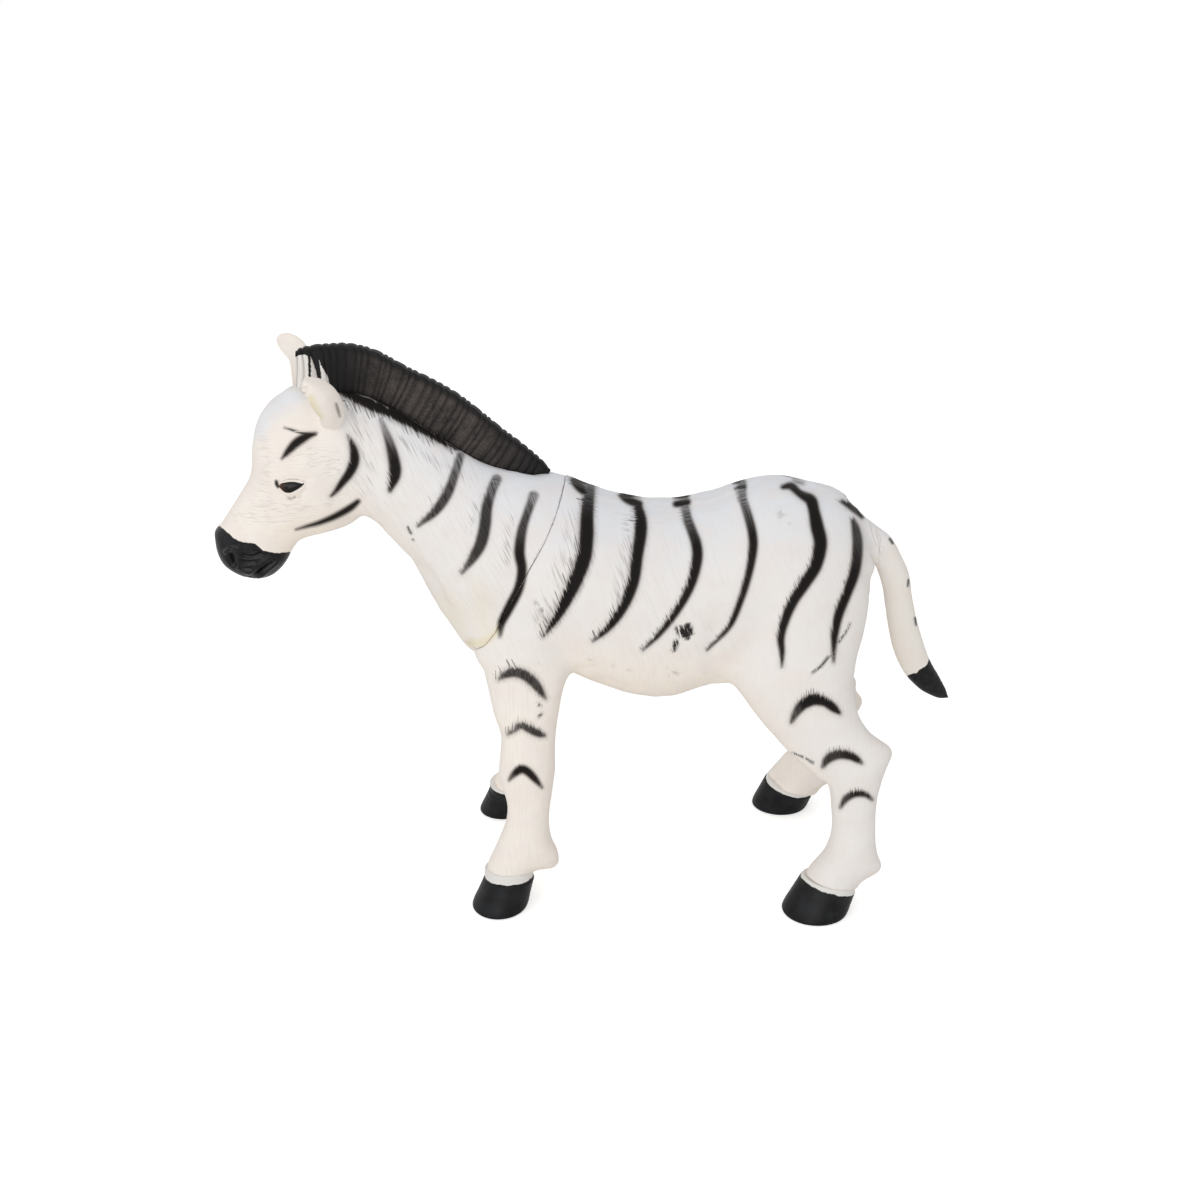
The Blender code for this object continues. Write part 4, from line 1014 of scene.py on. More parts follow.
def bare_vinyl(tree, laid, hairs, clouds, mottle):
    """White, warm below with painted bounce light, bluish with painted light on top, painted shade, glue,
    smudges.
    """
    # Painted bluish light on top, and painted bluish shade on the forehead
    cool_light_and_shade = add(tree, "Math", laid["cool_light_and_shade"], 0.85, operation="MULTIPLY")
    blush = add(tree, "MapRange", clouds, 0.42, 0.66, 0.0, 0.30, interpolation_type="SMOOTHSTEP")
    # Painted shade in the grooves, darker along the furrows and wrinkles
    groove_shade_depth = add(tree, "Math", laid["furrow"], 0.24, 0.12, operation="MULTIPLY_ADD")
    groove_shade_depth = add(tree, "Math", groove_shade_depth, laid["carved"], operation="MULTIPLY")
    groove = add(tree, "MapRange", hairs, 0.50, 0.34, interpolation_type="SMOOTHSTEP")
    groove = add(tree, "Math", groove, groove_shade_depth, operation="MULTIPLY")
    glue = add(tree, "Math", laid["glue"], 0.5, operation="MULTIPLY")
    # Real grime, and the painted shade under the lower lid and in the ear's pinhole
    dirt_and_shade = add(tree, "MapRange", mottle, 0.48, 0.70, 0.0, 0.6, interpolation_type="SMOOTHSTEP")
    dirt_and_shade = add(tree, "Math", laid["smudge"], dirt_and_shade, operation="MULTIPLY")
    return layered(tree, srgb(VINYL_WHITE), (laid["cream"], srgb(VINYL_CREAM_AND_BOUNCE)), (cool_light_and_shade, srgb(VINYL_COOL_LIGHT)),
                   (blush, srgb(VINYL_BLUSH)), (groove, srgb(GROOVE_SHADE_GREY)), (glue, srgb(GLUE_TINT)),
                   (dirt_and_shade, srgb(SMUDGE_AND_SHADE_GREY)))


def stripe_cover(tree, laid, hairs, depth, reach):
    """How far the stripes' paint covers: soft, scraped, flung along strands, bared on hairs, and drifted."""
    covered = add(tree, "MapRange", reach, -PAINT_SOFT_MM, PAINT_SOFT_MM, interpolation_type="SMOOTHSTEP")
    missing = add(tree, "Math", laid["paint_thickness"], 1.0, operation="SUBTRACT")
    scraped = add(tree, "MapRange", hairs, 0.38, 0.60, 0.45, 1.55, interpolation_type="SMOOTHSTEP")
    kept = add(tree, "Math", missing, scraped, 1.0, operation="MULTIPLY_ADD")
    covered = add(tree, "Math", covered, kept, operation="MULTIPLY")

    strands = combed(tree, STRAND_ACROSS_MM, STRAND_ALONG_MM, 0.0, STRAND_SHIFT)
    fling = add(tree, "MapRange", strands, 0.50, 0.70, 0.0, STRAND_FLING_MM, interpolation_type="SMOOTHSTEP")
    flung = add(tree, "Math", fling, laid["paint_tilt"], depth, operation="MULTIPLY_ADD")
    flung = add(tree, "MapRange", flung, -0.1, 0.9, 0.0, STRAND_COVER, interpolation_type="SMOOTHSTEP")
    covered = add(tree, "Math", covered, flung, operation="MAXIMUM")

    bared = add(tree, "MapRange", hairs, 0.42, 0.33, 0.0, -BARED_SHARE, interpolation_type="SMOOTHSTEP")
    shallow = add(tree, "MapRange", depth, 1.5, -0.2, interpolation_type="SMOOTHSTEP")
    across = add(tree, "MapRange", laid["paint_tilt"], 0.05, 0.4, interpolation_type="SMOOTHSTEP")
    bared = add(tree, "Math", bared, shallow, operation="MULTIPLY")
    kept = add(tree, "Math", bared, across, 1.0, operation="MULTIPLY_ADD")
    covered = add(tree, "Math", covered, kept, operation="MULTIPLY")

    drift = add(tree, "MapRange", laid["paint_mm"], -OVERSPRAY_MM, 0.3, interpolation_type="SMOOTHSTEP")
    caught = add(tree, "MapRange", hairs, 0.44, 0.60, 0.26, 0.68, interpolation_type="SMOOTHSTEP")
    for factor in (drift, caught, laid["ragged"]):
        drift = add(tree, "Math", drift, factor, operation="MULTIPLY")
    return add(tree, "Math", covered, drift, operation="MAXIMUM")


def vinyl_skin():
    """The painted skin: bare vinyl, combed stripes, specks and painted crease shade, solid black on muzzle
    and tail.
    """
    material, tree = new_material("soft_pvc_painted")
    laid = {name: add(tree, "Attribute", out="Fac", attribute_name=name) for name in LAID_VALUES}
    place = add(tree, "TexCoord", out="Object")
    clouds, mottle, waver, grain = (
        add(tree, "TexNoise", {"Vector": place, "Scale": 1 / (size * MM), "Detail": detail})
        for size, detail in ((CLOUD_MM, 3.0), (MOTTLE_MM, 4.0), (WAVER_MM, 2.0), (GRAIN_MM, 2.0)))
    locks = combed(tree, LOCK_ACROSS_MM, LOCK_ALONG_MM, 0.0)
    hairs = combed(tree, HAIR_ACROSS_MM, HAIR_ALONG_MM, 1.0, HAIR_SHIFT)

    depth = add(tree, "Math", laid["paint_mm"], PAINT_FULLER_MM, operation="ADD")
    middle = -(LOCK_PULL_MM + HAIR_PULL_MM) / 2
    pull = add(tree, "Math", locks, LOCK_PULL_MM, middle, operation="MULTIPLY_ADD")
    pull = add(tree, "Math", hairs, HAIR_PULL_MM, pull, operation="MULTIPLY_ADD")
    reach = add(tree, "Math", pull, laid["paint_tilt"], depth, operation="MULTIPLY_ADD")
    covered = stripe_cover(tree, laid, hairs, depth, reach)
    full = add(tree, "MapRange", reach, -0.4, 1.6, interpolation_type="SMOOTHSTEP")
    full = add(tree, "Math", full, laid["paint_thickness"], operation="MULTIPLY")
    ink = layered(tree, srgb(PAINT_THIN), (full, srgb(PAINT_BLACK)))

    # Paint specks, and painted shade in the brow's crease and along the upper lid
    flecks_and_shade = add(tree, "MapRange", hairs, 0.33, 0.43, interpolation_type="SMOOTHSTEP")
    flecks_and_shade = add(tree, "Math", laid["fleck_and_crease_shade"], flecks_and_shade, operation="MULTIPLY")
    edge = add(tree, "Math", waver, BRUSH_WAVER_MM, laid["solid_black_mm"], operation="MULTIPLY_ADD")
    solid = add(tree, "MapRange", edge, 0.23, 0.49, interpolation_type="SMOOTHSTEP")
    # The solid black is lighter in patches: worn paint and painted sheen
    worn_and_sheen = add(tree, "MapRange", mottle, 0.42, 0.70, interpolation_type="SMOOTHSTEP")
    black = layered(tree, srgb(SOLID_DULL), (worn_and_sheen, srgb(SOLID_WORN_AND_SHEEN)))
    colour = layered(tree, bare_vinyl(tree, laid, hairs, clouds, mottle), (covered, ink),
                     (flecks_and_shade, srgb(FLECK_AND_SHADE_BLACK)), (solid, black))

    roughness = add(tree, "Math", clouds, 0.12, VINYL_ROUGHNESS, operation="MULTIPLY_ADD")
    roughness = add(tree, "Math", solid, -0.20, roughness, operation="MULTIPLY_ADD")
    sheen = add(tree, "Math", covered, -0.12, VINYL_SHEEN, operation="MULTIPLY_ADD")
    sheen = add(tree, "Math", solid, 0.05, sheen, operation="MULTIPLY_ADD")
    height = add(tree, "Math", locks, 0.6, operation="MULTIPLY")
    height = add(tree, "Math", hairs, 0.9, height, operation="MULTIPLY_ADD")
    height = add(tree, "Math", height, laid["carved"], operation="MULTIPLY")
    height = add(tree, "Math", grain, 0.10, height, operation="MULTIPLY_ADD")
    look = {"Base Color": colour, "Roughness": roughness, "IOR": VINYL_IOR, "Specular IOR Level": sheen}
    finish_surface(tree, look, height, GROOVE_DEPTH_MM, 1.0)
    return material


# Skin pieces: the two hollow vinyl mouldings, glued to each other at the seam, and the solid vinyl tail,
# whose root is plugged in a socket of the rump.
skin_material = vinyl_skin()


def settle_in(piece, material, node):
    """Gives a finished piece its material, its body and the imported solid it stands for."""
    piece.data.materials.clear()
    piece.data.materials.append(material)
    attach(piece, "root")
    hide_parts(node)


settle_in(head_skin, skin_material, "head_shell")
settle_in(body_skin, skin_material, "body_shell")
settle_in(tail_piece, skin_material, "tail")


# Mane: a separate crest of black vinyl, moulded with upright strands, whose foot is glued in a slot along the
# neck. Its front end, between the ears, is left white, with painted shade in its grooves. The tops of the
# strands carry worn grey paint and a painted highlight.
MANE_SEAT_MM = 2.5
# From the withers to the forelock: the foot's x and y in the photograph, the edge's, and half the thickness
MANE_LINES = (
    (547, 476, 550, 471, 0.9), (540, 479, 545.5, 465, 1.7), (528, 480, 538, 457.5, 2.2),
    (505, 475, 521, 443.5, 2.7), (482, 463, 502, 429.5, 2.9), (459, 451, 481, 412.5, 3.0),
    (436, 437, 458, 395, 3.0), (413.5, 422, 433, 380.5, 3.0), (391, 408, 407, 368, 3.0),
    (368, 399, 376, 351.5, 3.0), (349, 391, 350, 344.6, 3.0), (333, 386, 327, 344.8, 2.9),
    (321, 386, 311, 346.2, 2.7), (308, 388, 303, 348.3, 2.3), (299, 390, 298.5, 349.8, 1.7),
    (296, 390, 295.8, 352.0, 1.1),
)
MANE_COLUMNS = 560
MANE_ROWS = 76
MANE_STEPS = 400
MANE_MM_PER_PX = 0.33
# Round the crest, over the edge and back: where each turn comes, how far up it lies and on which side
MANE_TURNS = (0.0, 0.05, 0.43, 0.57, 0.95, 1.0)
MANE_UPS = (0.0, 0.0, 1.0, 1.0, 0.0, 0.0)
MANE_SIDES = (0.0, -1.0, -1.0, 1.0, 1.0, 0.0)
MANE_BLACK = "#0F0D0D"
# Worn grey with a painted highlight on the strands' tops, specks of dust, and painted shade in the white
# front's grooves
MANE_WORN_AND_SHEEN = "#4E4642"
MANE_SPECK = "#8F8A84"
MANE_GROOVE_SHADE = "#B9B2AC"
STRAND_MM = 2.9
STRAND_DEPTH_MM = 0.42
HAIR_MM = 0.95
HAIR_DEPTH_MM = 0.13
MANE_WHITE = (
    ((280, 355), (297, 355), (304, 354.5), (307.5, 356), (308, 362), (308.5, 378), (308, 400), (280, 400)),
    ((310.5, 356), (313, 362), (315.5, 370), (317.5, 378), (318, 390), (310, 390), (311, 370)),
    ((319, 360), (322, 367), (328, 377), (330, 390), (321, 390), (321, 374)),
)


def sheet(name, columns, rows, place):
    """A fine grid bent to shape by a function of how far along and how far round each point lies."""
    form = bmesh.new()
    bmesh.ops.create_grid(form, x_segments=columns, y_segments=rows, size=1.0)
    piece = object_of(name, form)
    along, turn = ((points_of(piece.data)[:, :2] + 1) / 2).T
    put_points(piece.data, place(along, turn))
    return piece, along, turn


def close_up(piece, weld=0.001 * MM):
    """Joins a sheet's meeting edges, closes its ends and turns its faces outwards."""
    form = bmesh.new()
    form.from_mesh(piece.data)
    bmesh.ops.remove_doubles(form, verts=form.verts, dist=weld)
    fill_holes(form)
    bmesh.ops.recalc_face_normals(form, faces=form.faces)
    form.to_mesh(piece.data)
    form.free()
    piece.data.shade_smooth()


def between(knots, share):
    """Values at a share of the way along a smooth curve through rows of knots."""
    fine = curve_through(knots, 12)
    at = share * (len(fine) - 1)
    return np.column_stack([np.interp(at, np.arange(len(fine)), fine[:, k]) for k in range(fine.shape[1])])


def rippled(along_mm, pitch_mm, power):
    """Rounded strands side by side with sharp grooves between them, from 0 in a groove to 1."""
    wander = 0.22 * np.sin(along_mm * 1.9 / pitch_mm) + 0.13 * np.sin(along_mm * 0.83 + 1.0)
    return np.abs(np.sin(math.pi * (along_mm / pitch_mm + wander))) ** power


mane_knots = np.array([
    [*seen_at(fx, fy, -half * MM), *seen_at(ex, ey, 0.0), half] for fx, fy, ex, ey, half in MANE_LINES])
mane_fine = between(mane_knots, np.linspace(0, 1, MANE_STEPS))
mane_steps = np.linalg.norm(np.diff(mane_fine[:, 3:6], axis=0), axis=1) / MM
mane_run = np.concatenate([[0.0], np.cumsum(mane_steps)])


def mane_strands(share, turn):
    """How many millimetres along the crest points lie, how far up, and along with their strand's lean."""
    along = np.interp(share * (MANE_STEPS - 1), np.arange(MANE_STEPS), mane_run)
    up = np.interp(turn, MANE_TURNS, MANE_UPS)
    return along, up, along + 1.1 * np.sin(up * 2.2)


def mane_place(share, turn):
    """Places of the crest: two sides with strands carved in, joined over a rounded edge."""
    knots = between(mane_knots, share)
    along, up, leaned = mane_strands(share, turn)
    side = np.interp(turn, MANE_TURNS, MANE_SIDES)
    foot, edge = knots[:, 0:3] * (1, 0, 1), knots[:, 3:6] * (1, 0, 1)
    height = np.linalg.norm(edge - foot, axis=1) / MM
    rise = (edge - foot) / (height[:, None] * MM)
    half = knots[:, 6] * (1.0 - 0.20 * up**2) + 0.12 * np.exp(-((up - 0.97) / 0.04) ** 2)
    strand = rippled(leaned, STRAND_MM, 0.55)
    hair = rippled(leaned + 0.3 * np.sin(up * 9 + along), HAIR_MM, 0.8)
    fade = np.clip(height / 8.0, 0.15, 1.0)
    groove = fade * (STRAND_DEPTH_MM * (1 - strand) + HAIR_DEPTH_MM * (1 - hair))
    top = np.where((turn > 0.40) & (turn < 0.60), 1.0, 0.0)
    crown = top * 0.45 * (1 - side**2) - up**6 * fade * 0.55 * (1 - strand)
    half = np.maximum(half - groove * (1 - 0.4 * top), 0.25)
    lowered = height * up + crown - MANE_SEAT_MM * (1 - up) ** 4
    points = foot + rise * (lowered * MM)[:, None]
    points[:, 1] += side * half * MM
    return points


mane, mane_share, mane_turn = sheet("mane_crest", MANE_COLUMNS, MANE_ROWS, mane_place)
_, mane_up, leaned = mane_strands(mane_share, mane_turn)
mane_pixels, _ = pixels_of(points_of(mane.data))
set_values(mane.data, "strand", rippled(leaned, STRAND_MM, 0.8) * 0.7 + rippled(leaned, HAIR_MM, 0.8) * 0.3)
# The tops of the strands, where the black is worn grey and carries a painted highlight
wear_and_sheen_along = smooth_step(mane_pixels[:, 0], 340, 392) * smooth_step(-mane_pixels[:, 0], -545, -470)
wear_and_sheen_up = smooth_step(-mane_up, -0.97, -0.80) * smooth_step(mane_up, 0.02, 0.25)
set_values(mane.data, "worn_and_sheen", wear_and_sheen_along * wear_and_sheen_up)
white_depth = np.max([into_outline(mane_pixels, outline) for outline in MANE_WHITE], axis=0)
set_values(mane.data, "white_mm", np.where(mane_up > 0.90, -3.0, white_depth * MANE_MM_PER_PX))
close_up(mane)


def mane_vinyl():
    """Black vinyl paint on a moulded crest: matt, with wear and a painted highlight along its strands' tops.
    """
    material, tree = new_material("soft_pvc_black_painted_crest")
    place = add(tree, "TexCoord", out="Object")
    strand, worn_and_sheen, white_mm = (
        add(tree, "Attribute", out="Fac", attribute_name=name) for name in ("strand", "worn_and_sheen", "white_mm"))
    clouds, specks = (
        add(tree, "TexNoise", {"Vector": place, "Scale": 1 / (size * MM), "Detail": 3.0})
        for size in (6, 0.5))
    clouds = add(tree, "Math", clouds, 0.6, operation="MULTIPLY")
    patches = add(tree, "Math", specks, 0.6, clouds, operation="MULTIPLY_ADD")
    patches = add(tree, "MapRange", patches, 0.35, 0.75, interpolation_type="SMOOTHSTEP")
    for factor in (strand, patches):
        worn_and_sheen = add(tree, "Math", worn_and_sheen, factor, operation="MULTIPLY")
    dust = add(tree, "MapRange", specks, 0.76, 0.82, interpolation_type="SMOOTHSTEP")
    black = layered(tree, srgb(MANE_BLACK), (worn_and_sheen, srgb(MANE_WORN_AND_SHEEN)), (dust, srgb(MANE_SPECK)))
    # The white front's grooves between its strands are darkened with painted shade
    pale = layered(tree, srgb(MANE_GROOVE_SHADE), (strand, srgb(VINYL_WHITE)))
    edge = add(tree, "Math", specks, BRUSH_WAVER_MM, white_mm, operation="MULTIPLY_ADD")
    white = add(tree, "MapRange", edge, 0.23, 0.50, interpolation_type="SMOOTHSTEP")
    height = add(tree, "Math", specks, 0.35, strand, operation="MULTIPLY_ADD")
    colour = layered(tree, black, (white, pale))
    look = {"Base Color": colour, "Roughness": 0.5, "IOR": VINYL_IOR, "Specular IOR Level": VINYL_SHEEN}
    finish_surface(tree, look, height, 0.14, 0.8)
    return material


settle_in(mane, mane_vinyl(), "mane")


# Ears: two thin leaves of white vinyl glued in the head. The near one is bent out sideways and shows its
# rounded back, with yellowed glue and a pinhole at its front edge, darkened with painted shade. The far one
# stands up and forward.
EAR_COLUMNS = 96
EAR_ROWS = 64
EAR_STEPS = 200
# Knots of the middle line, each its x and y in the photograph, how far out it lies and half the ear's width
# in millimetres; then how far the leaf bulges and how thick it is
EARS = {
    "ear_left": (((331, 425.5, -5.5, 2.6), (331.3, 420, -10.5, 3.8), (331.0, 414, -15.5, 4.5),
        (328.0, 406, -19.5, 4.95), (322.5, 396.5, -22.0, 4.6), (314.5, 389.5, -23.2, 3.9),
        (307, 386.0, -23.8, 3.0), (301.5, 384.8, -24.1, 2.2)), 2.6, 2.6),
    "ear_right": (((302, 398, 7.5, 2.4), (301, 386, 8.8, 2.8), (300.5, 374, 10.2, 3.2),
        (299.5, 362, 11.8, 3.4), (296.5, 351.5, 13.2, 3.9), (288.5, 343.5, 14.4, 3.6),
        (277, 336.8, 15.4, 2.2)), -1.2, 2.4),
}
EAR_TIP_SHARE = 0.86
EAR_GLUE = ((311, 399, 5), (313, 404, 5), (320, 417, 3))
EAR_HOLE = (305.5, 390.5, 5.5)
EAR_HOLE_MM = 0.9
EAR_SLIT = ((336.2, 404, 0.8), (338, 410, 1.3), (339.7, 416, 0.6))
EAR_MARK_REACH_PX = 12
EAR_MM_PER_PX = 0.32
UNPAINTED_MM = -5.0
# What the ears' vinyl has of the skin's values, apart from its marks
EAR_VALUES = {
    "paint_thickness": 1.0, "ragged": 0.05, "solid_black_mm": UNPAINTED_MM, "hair_neck": 1.0, "cream": 0.5,
    "carved": 0.12,
}


def ear_piece(name, knots, bulge_mm, thickness_mm):
    """A thin leaf along a middle line, with a rounded tip and a thicker rim."""
    rows = np.array([[*seen_at(px, py, y * MM), half] for px, py, y, half in knots])
    fine = between(rows, np.linspace(0, 1, EAR_STEPS))
    steps = np.arange(EAR_STEPS)

    def place(share, turn):
        at = share * (EAR_STEPS - 1)
        middle = np.column_stack([np.interp(at, steps, fine[:, k]) for k in range(4)])
        slope = np.gradient(fine[:, :3], axis=0)
        way = np.column_stack([np.interp(at, steps, slope[:, k]) for k in range(3)])
        way /= np.linalg.norm(way, axis=1)[:, None]
        across = np.cross(way, np.array(camera_way))
        across /= np.linalg.norm(across, axis=1)[:, None]
        outward = np.cross(across, way)
        outward *= np.sign(outward @ np.array(camera_way))[:, None]
        tip = np.clip((share - EAR_TIP_SHARE) / (1 - EAR_TIP_SHARE), 0, 1)
        narrowed = np.sqrt(np.maximum(1 - tip**2.4, 0.0004))
        half = middle[:, 3] * narrowed * MM
        c, s = np.cos(turn * math.tau), np.sin(turn * math.tau)
        rim = 1 + 0.25 * np.exp(-((np.abs(c) - 0.86) / 0.09) ** 2)
        lift = (bulge_mm * (1 - c**2) * narrowed + 0.5 * thickness_mm * s * rim * narrowed**0.7) * MM
        return middle[:, :3] + across * (half * c)[:, None] + outward * lift[:, None]

    ear, _, _ = sheet(name, EAR_COLUMNS, EAR_ROWS, place)
    close_up(ear)
    return ear


for name, (knots, bulge, thickness) in EARS.items():
    ear = ear_piece(f"{name}_leaf", knots, bulge, thickness)
    pixels, _ = pixels_of(points_of(ear.data))
    near_side = name == "ear_left"
    hole = spray(pixels, {"hole": (EAR_HOLE, EAR_HOLE)}, EAR_MARK_REACH_PX)[0]
    slit = spray(pixels, {"slit": EAR_SLIT}, EAR_MARK_REACH_PX)[0]
    # The pinhole is darkened with painted shade, laid with the grime
    values = {"paint_mm": slit * EAR_MM_PER_PX if near_side else UNPAINTED_MM,
              "glue": near_lines(pixels, [EAR_GLUE], -5.0, 2.0) * near_side,
              "smudge": 1.2 * smooth_step(hole, -3.0, 3.0) * near_side, **EAR_VALUES}
    for attribute in (*LAID_VALUES, "hair_neck", "hair_leg", "hair_face", "hair_front", "hair_top"):
        set_values(ear.data, attribute, values.get(attribute, 0.0))
    if near_side:
        dent = EAR_HOLE_MM * MM * smooth_step(hole, -2.5, 2.0)
        put_points(ear.data, points_of(ear.data) - normals_of(ear.data) * dent[:, None])
    settle_in(ear, skin_material, name)


# Eyes: brown-black beads under clear gloss, set in the head behind almond-shaped lids. Each stands a little
# proud of the lids in front and tapers into the head behind them.
EYE_OUTLINE = (
    (278.4, 486.5), (281.0, 483.4), (285, 482.0), (290, 481.2), (295.5, 481.2), (301.0, 481.7),
    (304.0, 483.5), (301.0, 486.9), (296.4, 489.9), (291.6, 492.4), (287.6, 492.9), (284.0, 491.9),
    (281.2, 489.4),
)
EYE_MIDDLE = (290.0, 486.4)
EYE_COLUMNS = 72
EYE_ROWS = 40
EYE_FRONT_SHARE = 0.7
EYE_PROUD_MM = 0.8
EYE_RIM_MM = -0.12
EYE_BACK_MM = -1.6
EYE_CORNER_PX = 11.0
EYE_DARK = "#120D0C"
EYE_CORNER = "#4A2A22"

eye_ring = curve_through(EYE_OUTLINE + EYE_OUTLINE[:1], 8)
eye_spot, eye_way = on_skin(skin_tree(head_skin.data), *EYE_MIDDLE)


def eye_place(share, turn):
    """A bead with its rim on the eye's outline: proud of the lids in front, and tapered behind."""
    at = turn * (len(eye_ring) - 1)
    edge = np.column_stack([np.interp(at, np.arange(len(eye_ring)), eye_ring[:, k]) for k in range(2)])
    front = np.clip(share / EYE_FRONT_SHARE, 0, 1)
    back = np.clip((share - EYE_FRONT_SHARE) / (1 - EYE_FRONT_SHARE), 0, 1)
    radius = np.where(back > 0, 1 - back, front)
    out = np.where(back > 0, EYE_RIM_MM + (EYE_BACK_MM - EYE_RIM_MM) * back**0.5,
                   EYE_RIM_MM + (EYE_PROUD_MM - EYE_RIM_MM) * (1 - front**2) ** 0.75)
    pixel = np.array(EYE_MIDDLE) + (edge - EYE_MIDDLE) * radius[:, None]
    flat = []
    for px, py in pixel:
        way = sight(px, py)
        reach = (eye_spot - camera_place).dot(eye_way) / way.dot(eye_way)
        flat.append(camera_place + way * reach)
    return np.array(flat) + np.array(eye_way) * (out * MM)[:, None]


def eye_gloss():
    """Brown-black paint under clear gloss: a deep colour with one sharp, small highlight."""
    material, tree = new_material("clear_gloss_over_brown_black")
    inner = add(tree, "Attribute", out="Fac", attribute_name="corner")
    inner = add(tree, "MapRange", inner, 0.0, 1.0, interpolation_type="SMOOTHSTEP")
    colour = layered(tree, srgb(EYE_DARK), (inner, srgb(EYE_CORNER)))
    look = {"Base Color": colour, "Roughness": 0.15, "IOR": 1.5, "Specular IOR Level": 0.18}
    gloss = add(tree, "BsdfPrincipled", {**look, "Coat Weight": 0.12, "Coat Roughness": 0.05})
    add(tree, "OutputMaterial", {"Surface": gloss})
    return material


def mirrored(piece, name):
    """The same piece for the other side of the animal."""
    form = bmesh.new()
    form.from_mesh(piece.data)
    for point in form.verts:
        point.co.y = -point.co.y
    bmesh.ops.reverse_faces(form, faces=form.faces)
    twin = object_of(name, form)
    twin.data.shade_smooth()
    return twin


eye_left, _, _ = sheet("eye_left_bead", EYE_ROWS, EYE_COLUMNS, eye_place)
corner = (pixels_of(points_of(eye_left.data))[0][:, 0] - EYE_MIDDLE[0]) / EYE_CORNER_PX
set_values(eye_left.data, "corner", np.clip(-corner * 1.6 - 0.5, 0, 1))
close_up(eye_left)
eye_right = mirrored(eye_left, "eye_right_bead")
eye_material = eye_gloss()
settle_in(eye_left, eye_material, "eye_left")
settle_in(eye_right, eye_material, "eye_right")


# Hooves: four solid vinyl plugs, each with a black hoof, a smooth white collar above it and a spigot in the
# leg. The black is brushed on, so that its upper edge wavers a little.
CORONET_MM = 10.0
# Middles of the sole and the coronet, the way up at the joint, length and width of the sole, the coronet's
# share of them, then in millimetres how high the black reaches above the coronet and how tall the collar is,
# and by what share it is taller behind
HOOVES = {
    "hoof_front_left": ((-0.0334, -0.0328), (-0.02990, -0.03062), (0.0, 0.1378, 0.9905), 0.0202, 0.0206, 0.90,
        1.1, 4.3, 0.0),
    "hoof_front_right": ((-0.0365, 0.0324), (-0.0328, 0.03062), (0.0, -0.1378, 0.9905), 0.0194, 0.0182, 0.93,
        3.6, 4.2, 0.0),
    "hoof_hind_left": ((0.07990, -0.0363), (0.08470, -0.0343), (0.2700, 0.1292, 0.9541), 0.0236, 0.0210, 0.86,
        0.0, 1.9, 0.5),
    "hoof_hind_right": ((0.07640, 0.0363), (0.07989, 0.0343), (0.245, -0.1292, 0.961), 0.0222, 0.0196, 0.92,
        0.6, 1.8, 0.0),
}
# Profile of a hoof: height up from the sole, and how far its side stands proud of a straight taper
HOOF_PROFILE_MM = (
    (0.0, -30.0), (0.0, -4.0), (0.02, -1.1), (0.12, -0.5), (0.42, -0.14), (0.9, 0.02), (2.0, 0.10),
    (5.0, 0.0), (8.6, 0.0), (9.7, 0.06), (10.0, -0.02), (10.12, -0.24), (10.5, -0.34), (11.0, -0.36),
    (11.4, -0.40), (11.68, -0.62), (11.8, -1.0), (11.82, -3.5), (11.82, -30.0),
)
HOOF_COLUMNS = 110
HOOF_ROWS = 96
# The collar is the stretch of the profile from this height on, and the profile's own is this tall
COLLAR_FOOT_MM = 11.0
COLLAR_STRETCH_MM = 0.4
COLLAR_MM = 1.8
HOOF_BLACK = "#0F1011"
HOOF_SHEEN = "#1C1D20"
HOOF_CHIP = "#77777A"
COLLAR_WHITE = "#E4E2DE"


def hoof_vinyl():
    """Satin black paint on smooth vinyl, chipped here and there, over a bare white collar."""
    material, tree = new_material("satin_black_hoof_pvc")
    place = add(tree, "TexCoord", out="Object")
    brush, grain, clouds = (
        add(tree, "TexNoise", {"Vector": place, "Scale": 1 / (size * MM), "Detail": detail})
        for size, detail in ((2.4, 2.0), (0.6, 3.0), (5, 2.0)))
    below = add(tree, "Attribute", out="Fac", attribute_name="below_coronet_mm")
    edge = add(tree, "Math", brush, 0.9, below, operation="MULTIPLY_ADD")
    covered = add(tree, "MapRange", edge, 0.37, 0.55, interpolation_type="SMOOTHSTEP")
    shiny = add(tree, "MapRange", clouds, 0.35, 0.7, interpolation_type="SMOOTHSTEP")
    chipped = add(tree, "MapRange", grain, 0.80, 0.86, interpolation_type="SMOOTHSTEP")
    black = layered(tree, srgb(HOOF_BLACK), (shiny, srgb(HOOF_SHEEN)), (chipped, srgb(HOOF_CHIP)))
    roughness = add(tree, "Math", clouds, 0.16, 0.30, operation="MULTIPLY_ADD")
    height = add(tree, "Math", grain, 0.3, brush, operation="MULTIPLY_ADD")
    colour = layered(tree, srgb(COLLAR_WHITE), (covered, black))
    look = {"Base Color": colour, "Roughness": roughness, "IOR": VINYL_IOR, "Specular IOR Level": 0.17}
    finish_surface(tree, look, height, 0.12, 0.5)
    return material


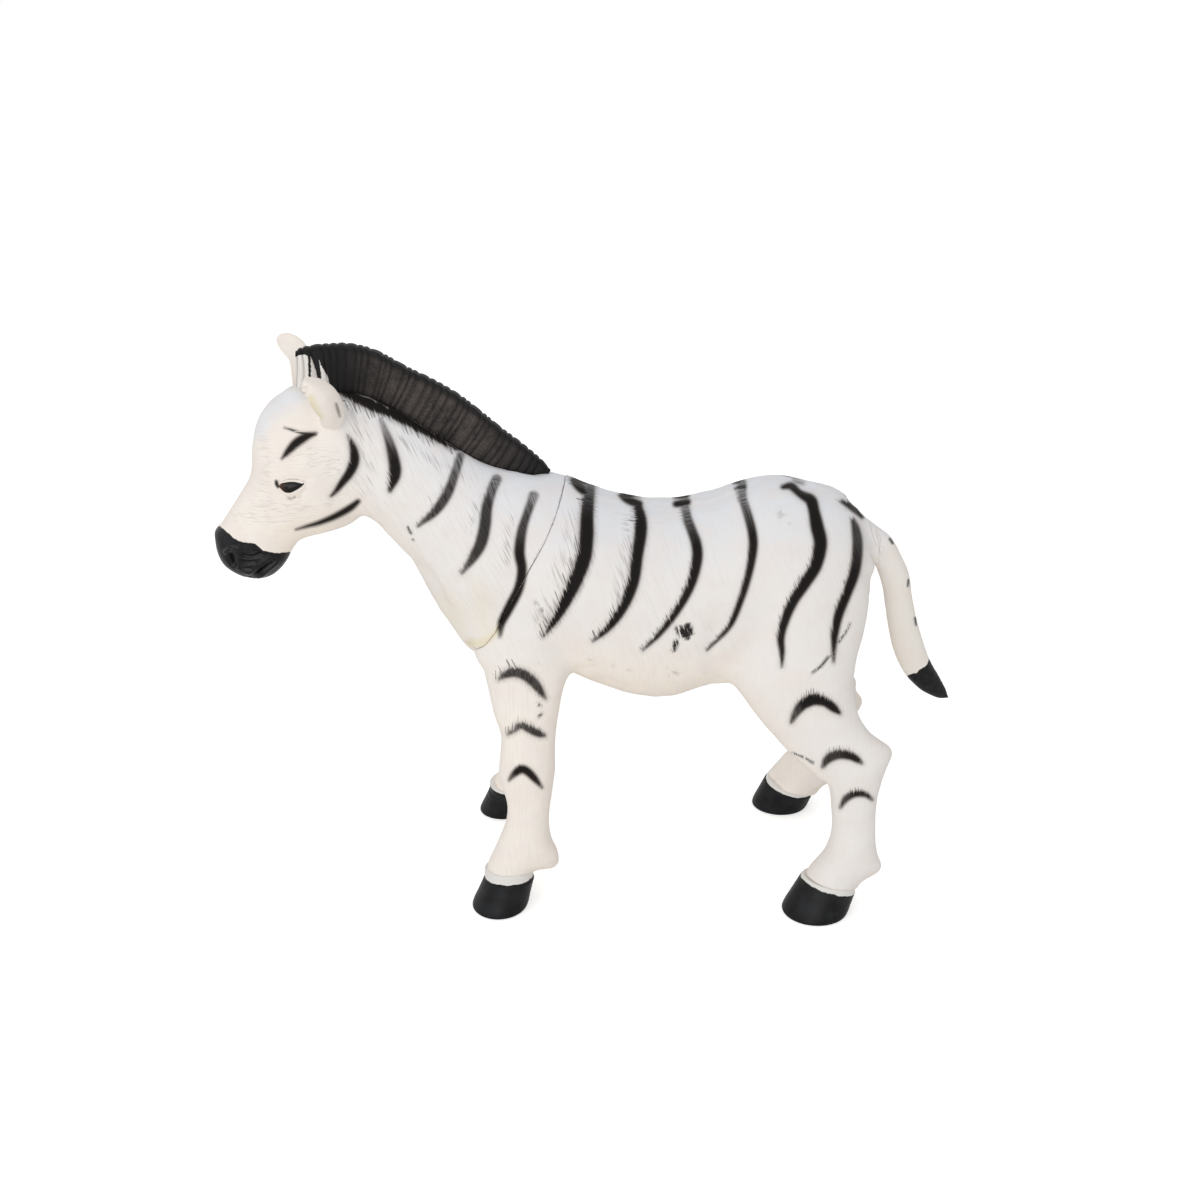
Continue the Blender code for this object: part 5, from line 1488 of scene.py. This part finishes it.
def hoof_piece(name, sole, coronet, way, length, width, narrowing, black_up, collar, wedge):
    """A profile swept round from the sole to the coronet and on along the leg's way."""
    sole, coronet, way = Vector((*sole, 0.0)), Vector((*coronet, CORONET_MM * MM)), np.array(way)
    knots = np.array(HOOF_PROFILE_MM)
    above = np.clip(knots[:, 0] - COLLAR_FOOT_MM, 0.0, COLLAR_STRETCH_MM) / COLLAR_STRETCH_MM
    knots[:, 0] += above * (collar - COLLAR_MM)

    def place(share, turn):
        at = share * (len(knots) - 1)
        height = np.interp(at, np.arange(len(knots)), knots[:, 0])
        proud = np.interp(at, np.arange(len(knots)), knots[:, 1])
        up = np.clip(height / CORONET_MM, 0, 1)
        middle = np.array(sole) + (np.array(coronet) - np.array(sole)) * up[:, None]
        rise = np.maximum(height - CORONET_MM, 0) * (1 + wedge * np.cos(turn * math.tau))
        middle = middle + way * (rise * MM)[:, None]
        normal = np.array((0, 0, 1.0)) + (way - np.array((0, 0, 1.0))) * up[:, None]
        normal /= np.linalg.norm(normal, axis=1)[:, None]
        side_axis = np.array((0, 1.0, 0)) - normal * normal[:, 1:2]
        side_axis /= np.linalg.norm(side_axis, axis=1)[:, None]
        fore_axis = np.cross(side_axis, normal)
        taper = 1 - (1 - narrowing) * up
        fore = np.maximum(length / 2 * taper + proud * MM, 0.0)
        side = np.maximum(width / 2 * taper + proud * MM, 0.0)
        c, s = np.cos(turn * math.tau), np.sin(turn * math.tau)
        return middle + fore_axis * (fore * c)[:, None] + side_axis * (side * s)[:, None]

    hoof, _, _ = sheet(name, HOOF_COLUMNS, HOOF_ROWS, place)
    points = points_of(hoof.data)
    set_values(hoof.data, "below_coronet_mm", (np.array(coronet) - points) @ way / MM + black_up)
    close_up(hoof)
    return hoof


hoof_material = hoof_vinyl()
for node, values in HOOVES.items():
    settle_in(hoof_piece(f"{node}_plug", *values), hoof_material, node)


# Filling: loose polyester wadding inside the two hollow mouldings. Nothing shows it from outside, so it
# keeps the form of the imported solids.
FIBRE_GREY = "#D9D8D4"
FIBRE_WHITE = "#F4F3F0"
TUFT_MM = 4


def wadding():
    """White crimped fibre: dull and fuzzy, with soft tufts."""
    material, tree = new_material("polyester_wadding")
    place = add(tree, "TexCoord", out="Object")
    tufts = add(tree, "TexNoise", {"Vector": place, "Scale": 1 / (TUFT_MM * MM), "Detail": 6.0})
    colour = layered(tree, srgb(FIBRE_GREY), (tufts, srgb(FIBRE_WHITE)))
    finish_surface(tree, {"Base Color": colour, "Roughness": 0.95, "Sheen Weight": 0.4}, tufts, 0.8, 1.0)
    return material


fibre = wadding()
for node in FILLINGS:
    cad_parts[node].data.materials.clear()
    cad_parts[node].data.materials.append(fibre)
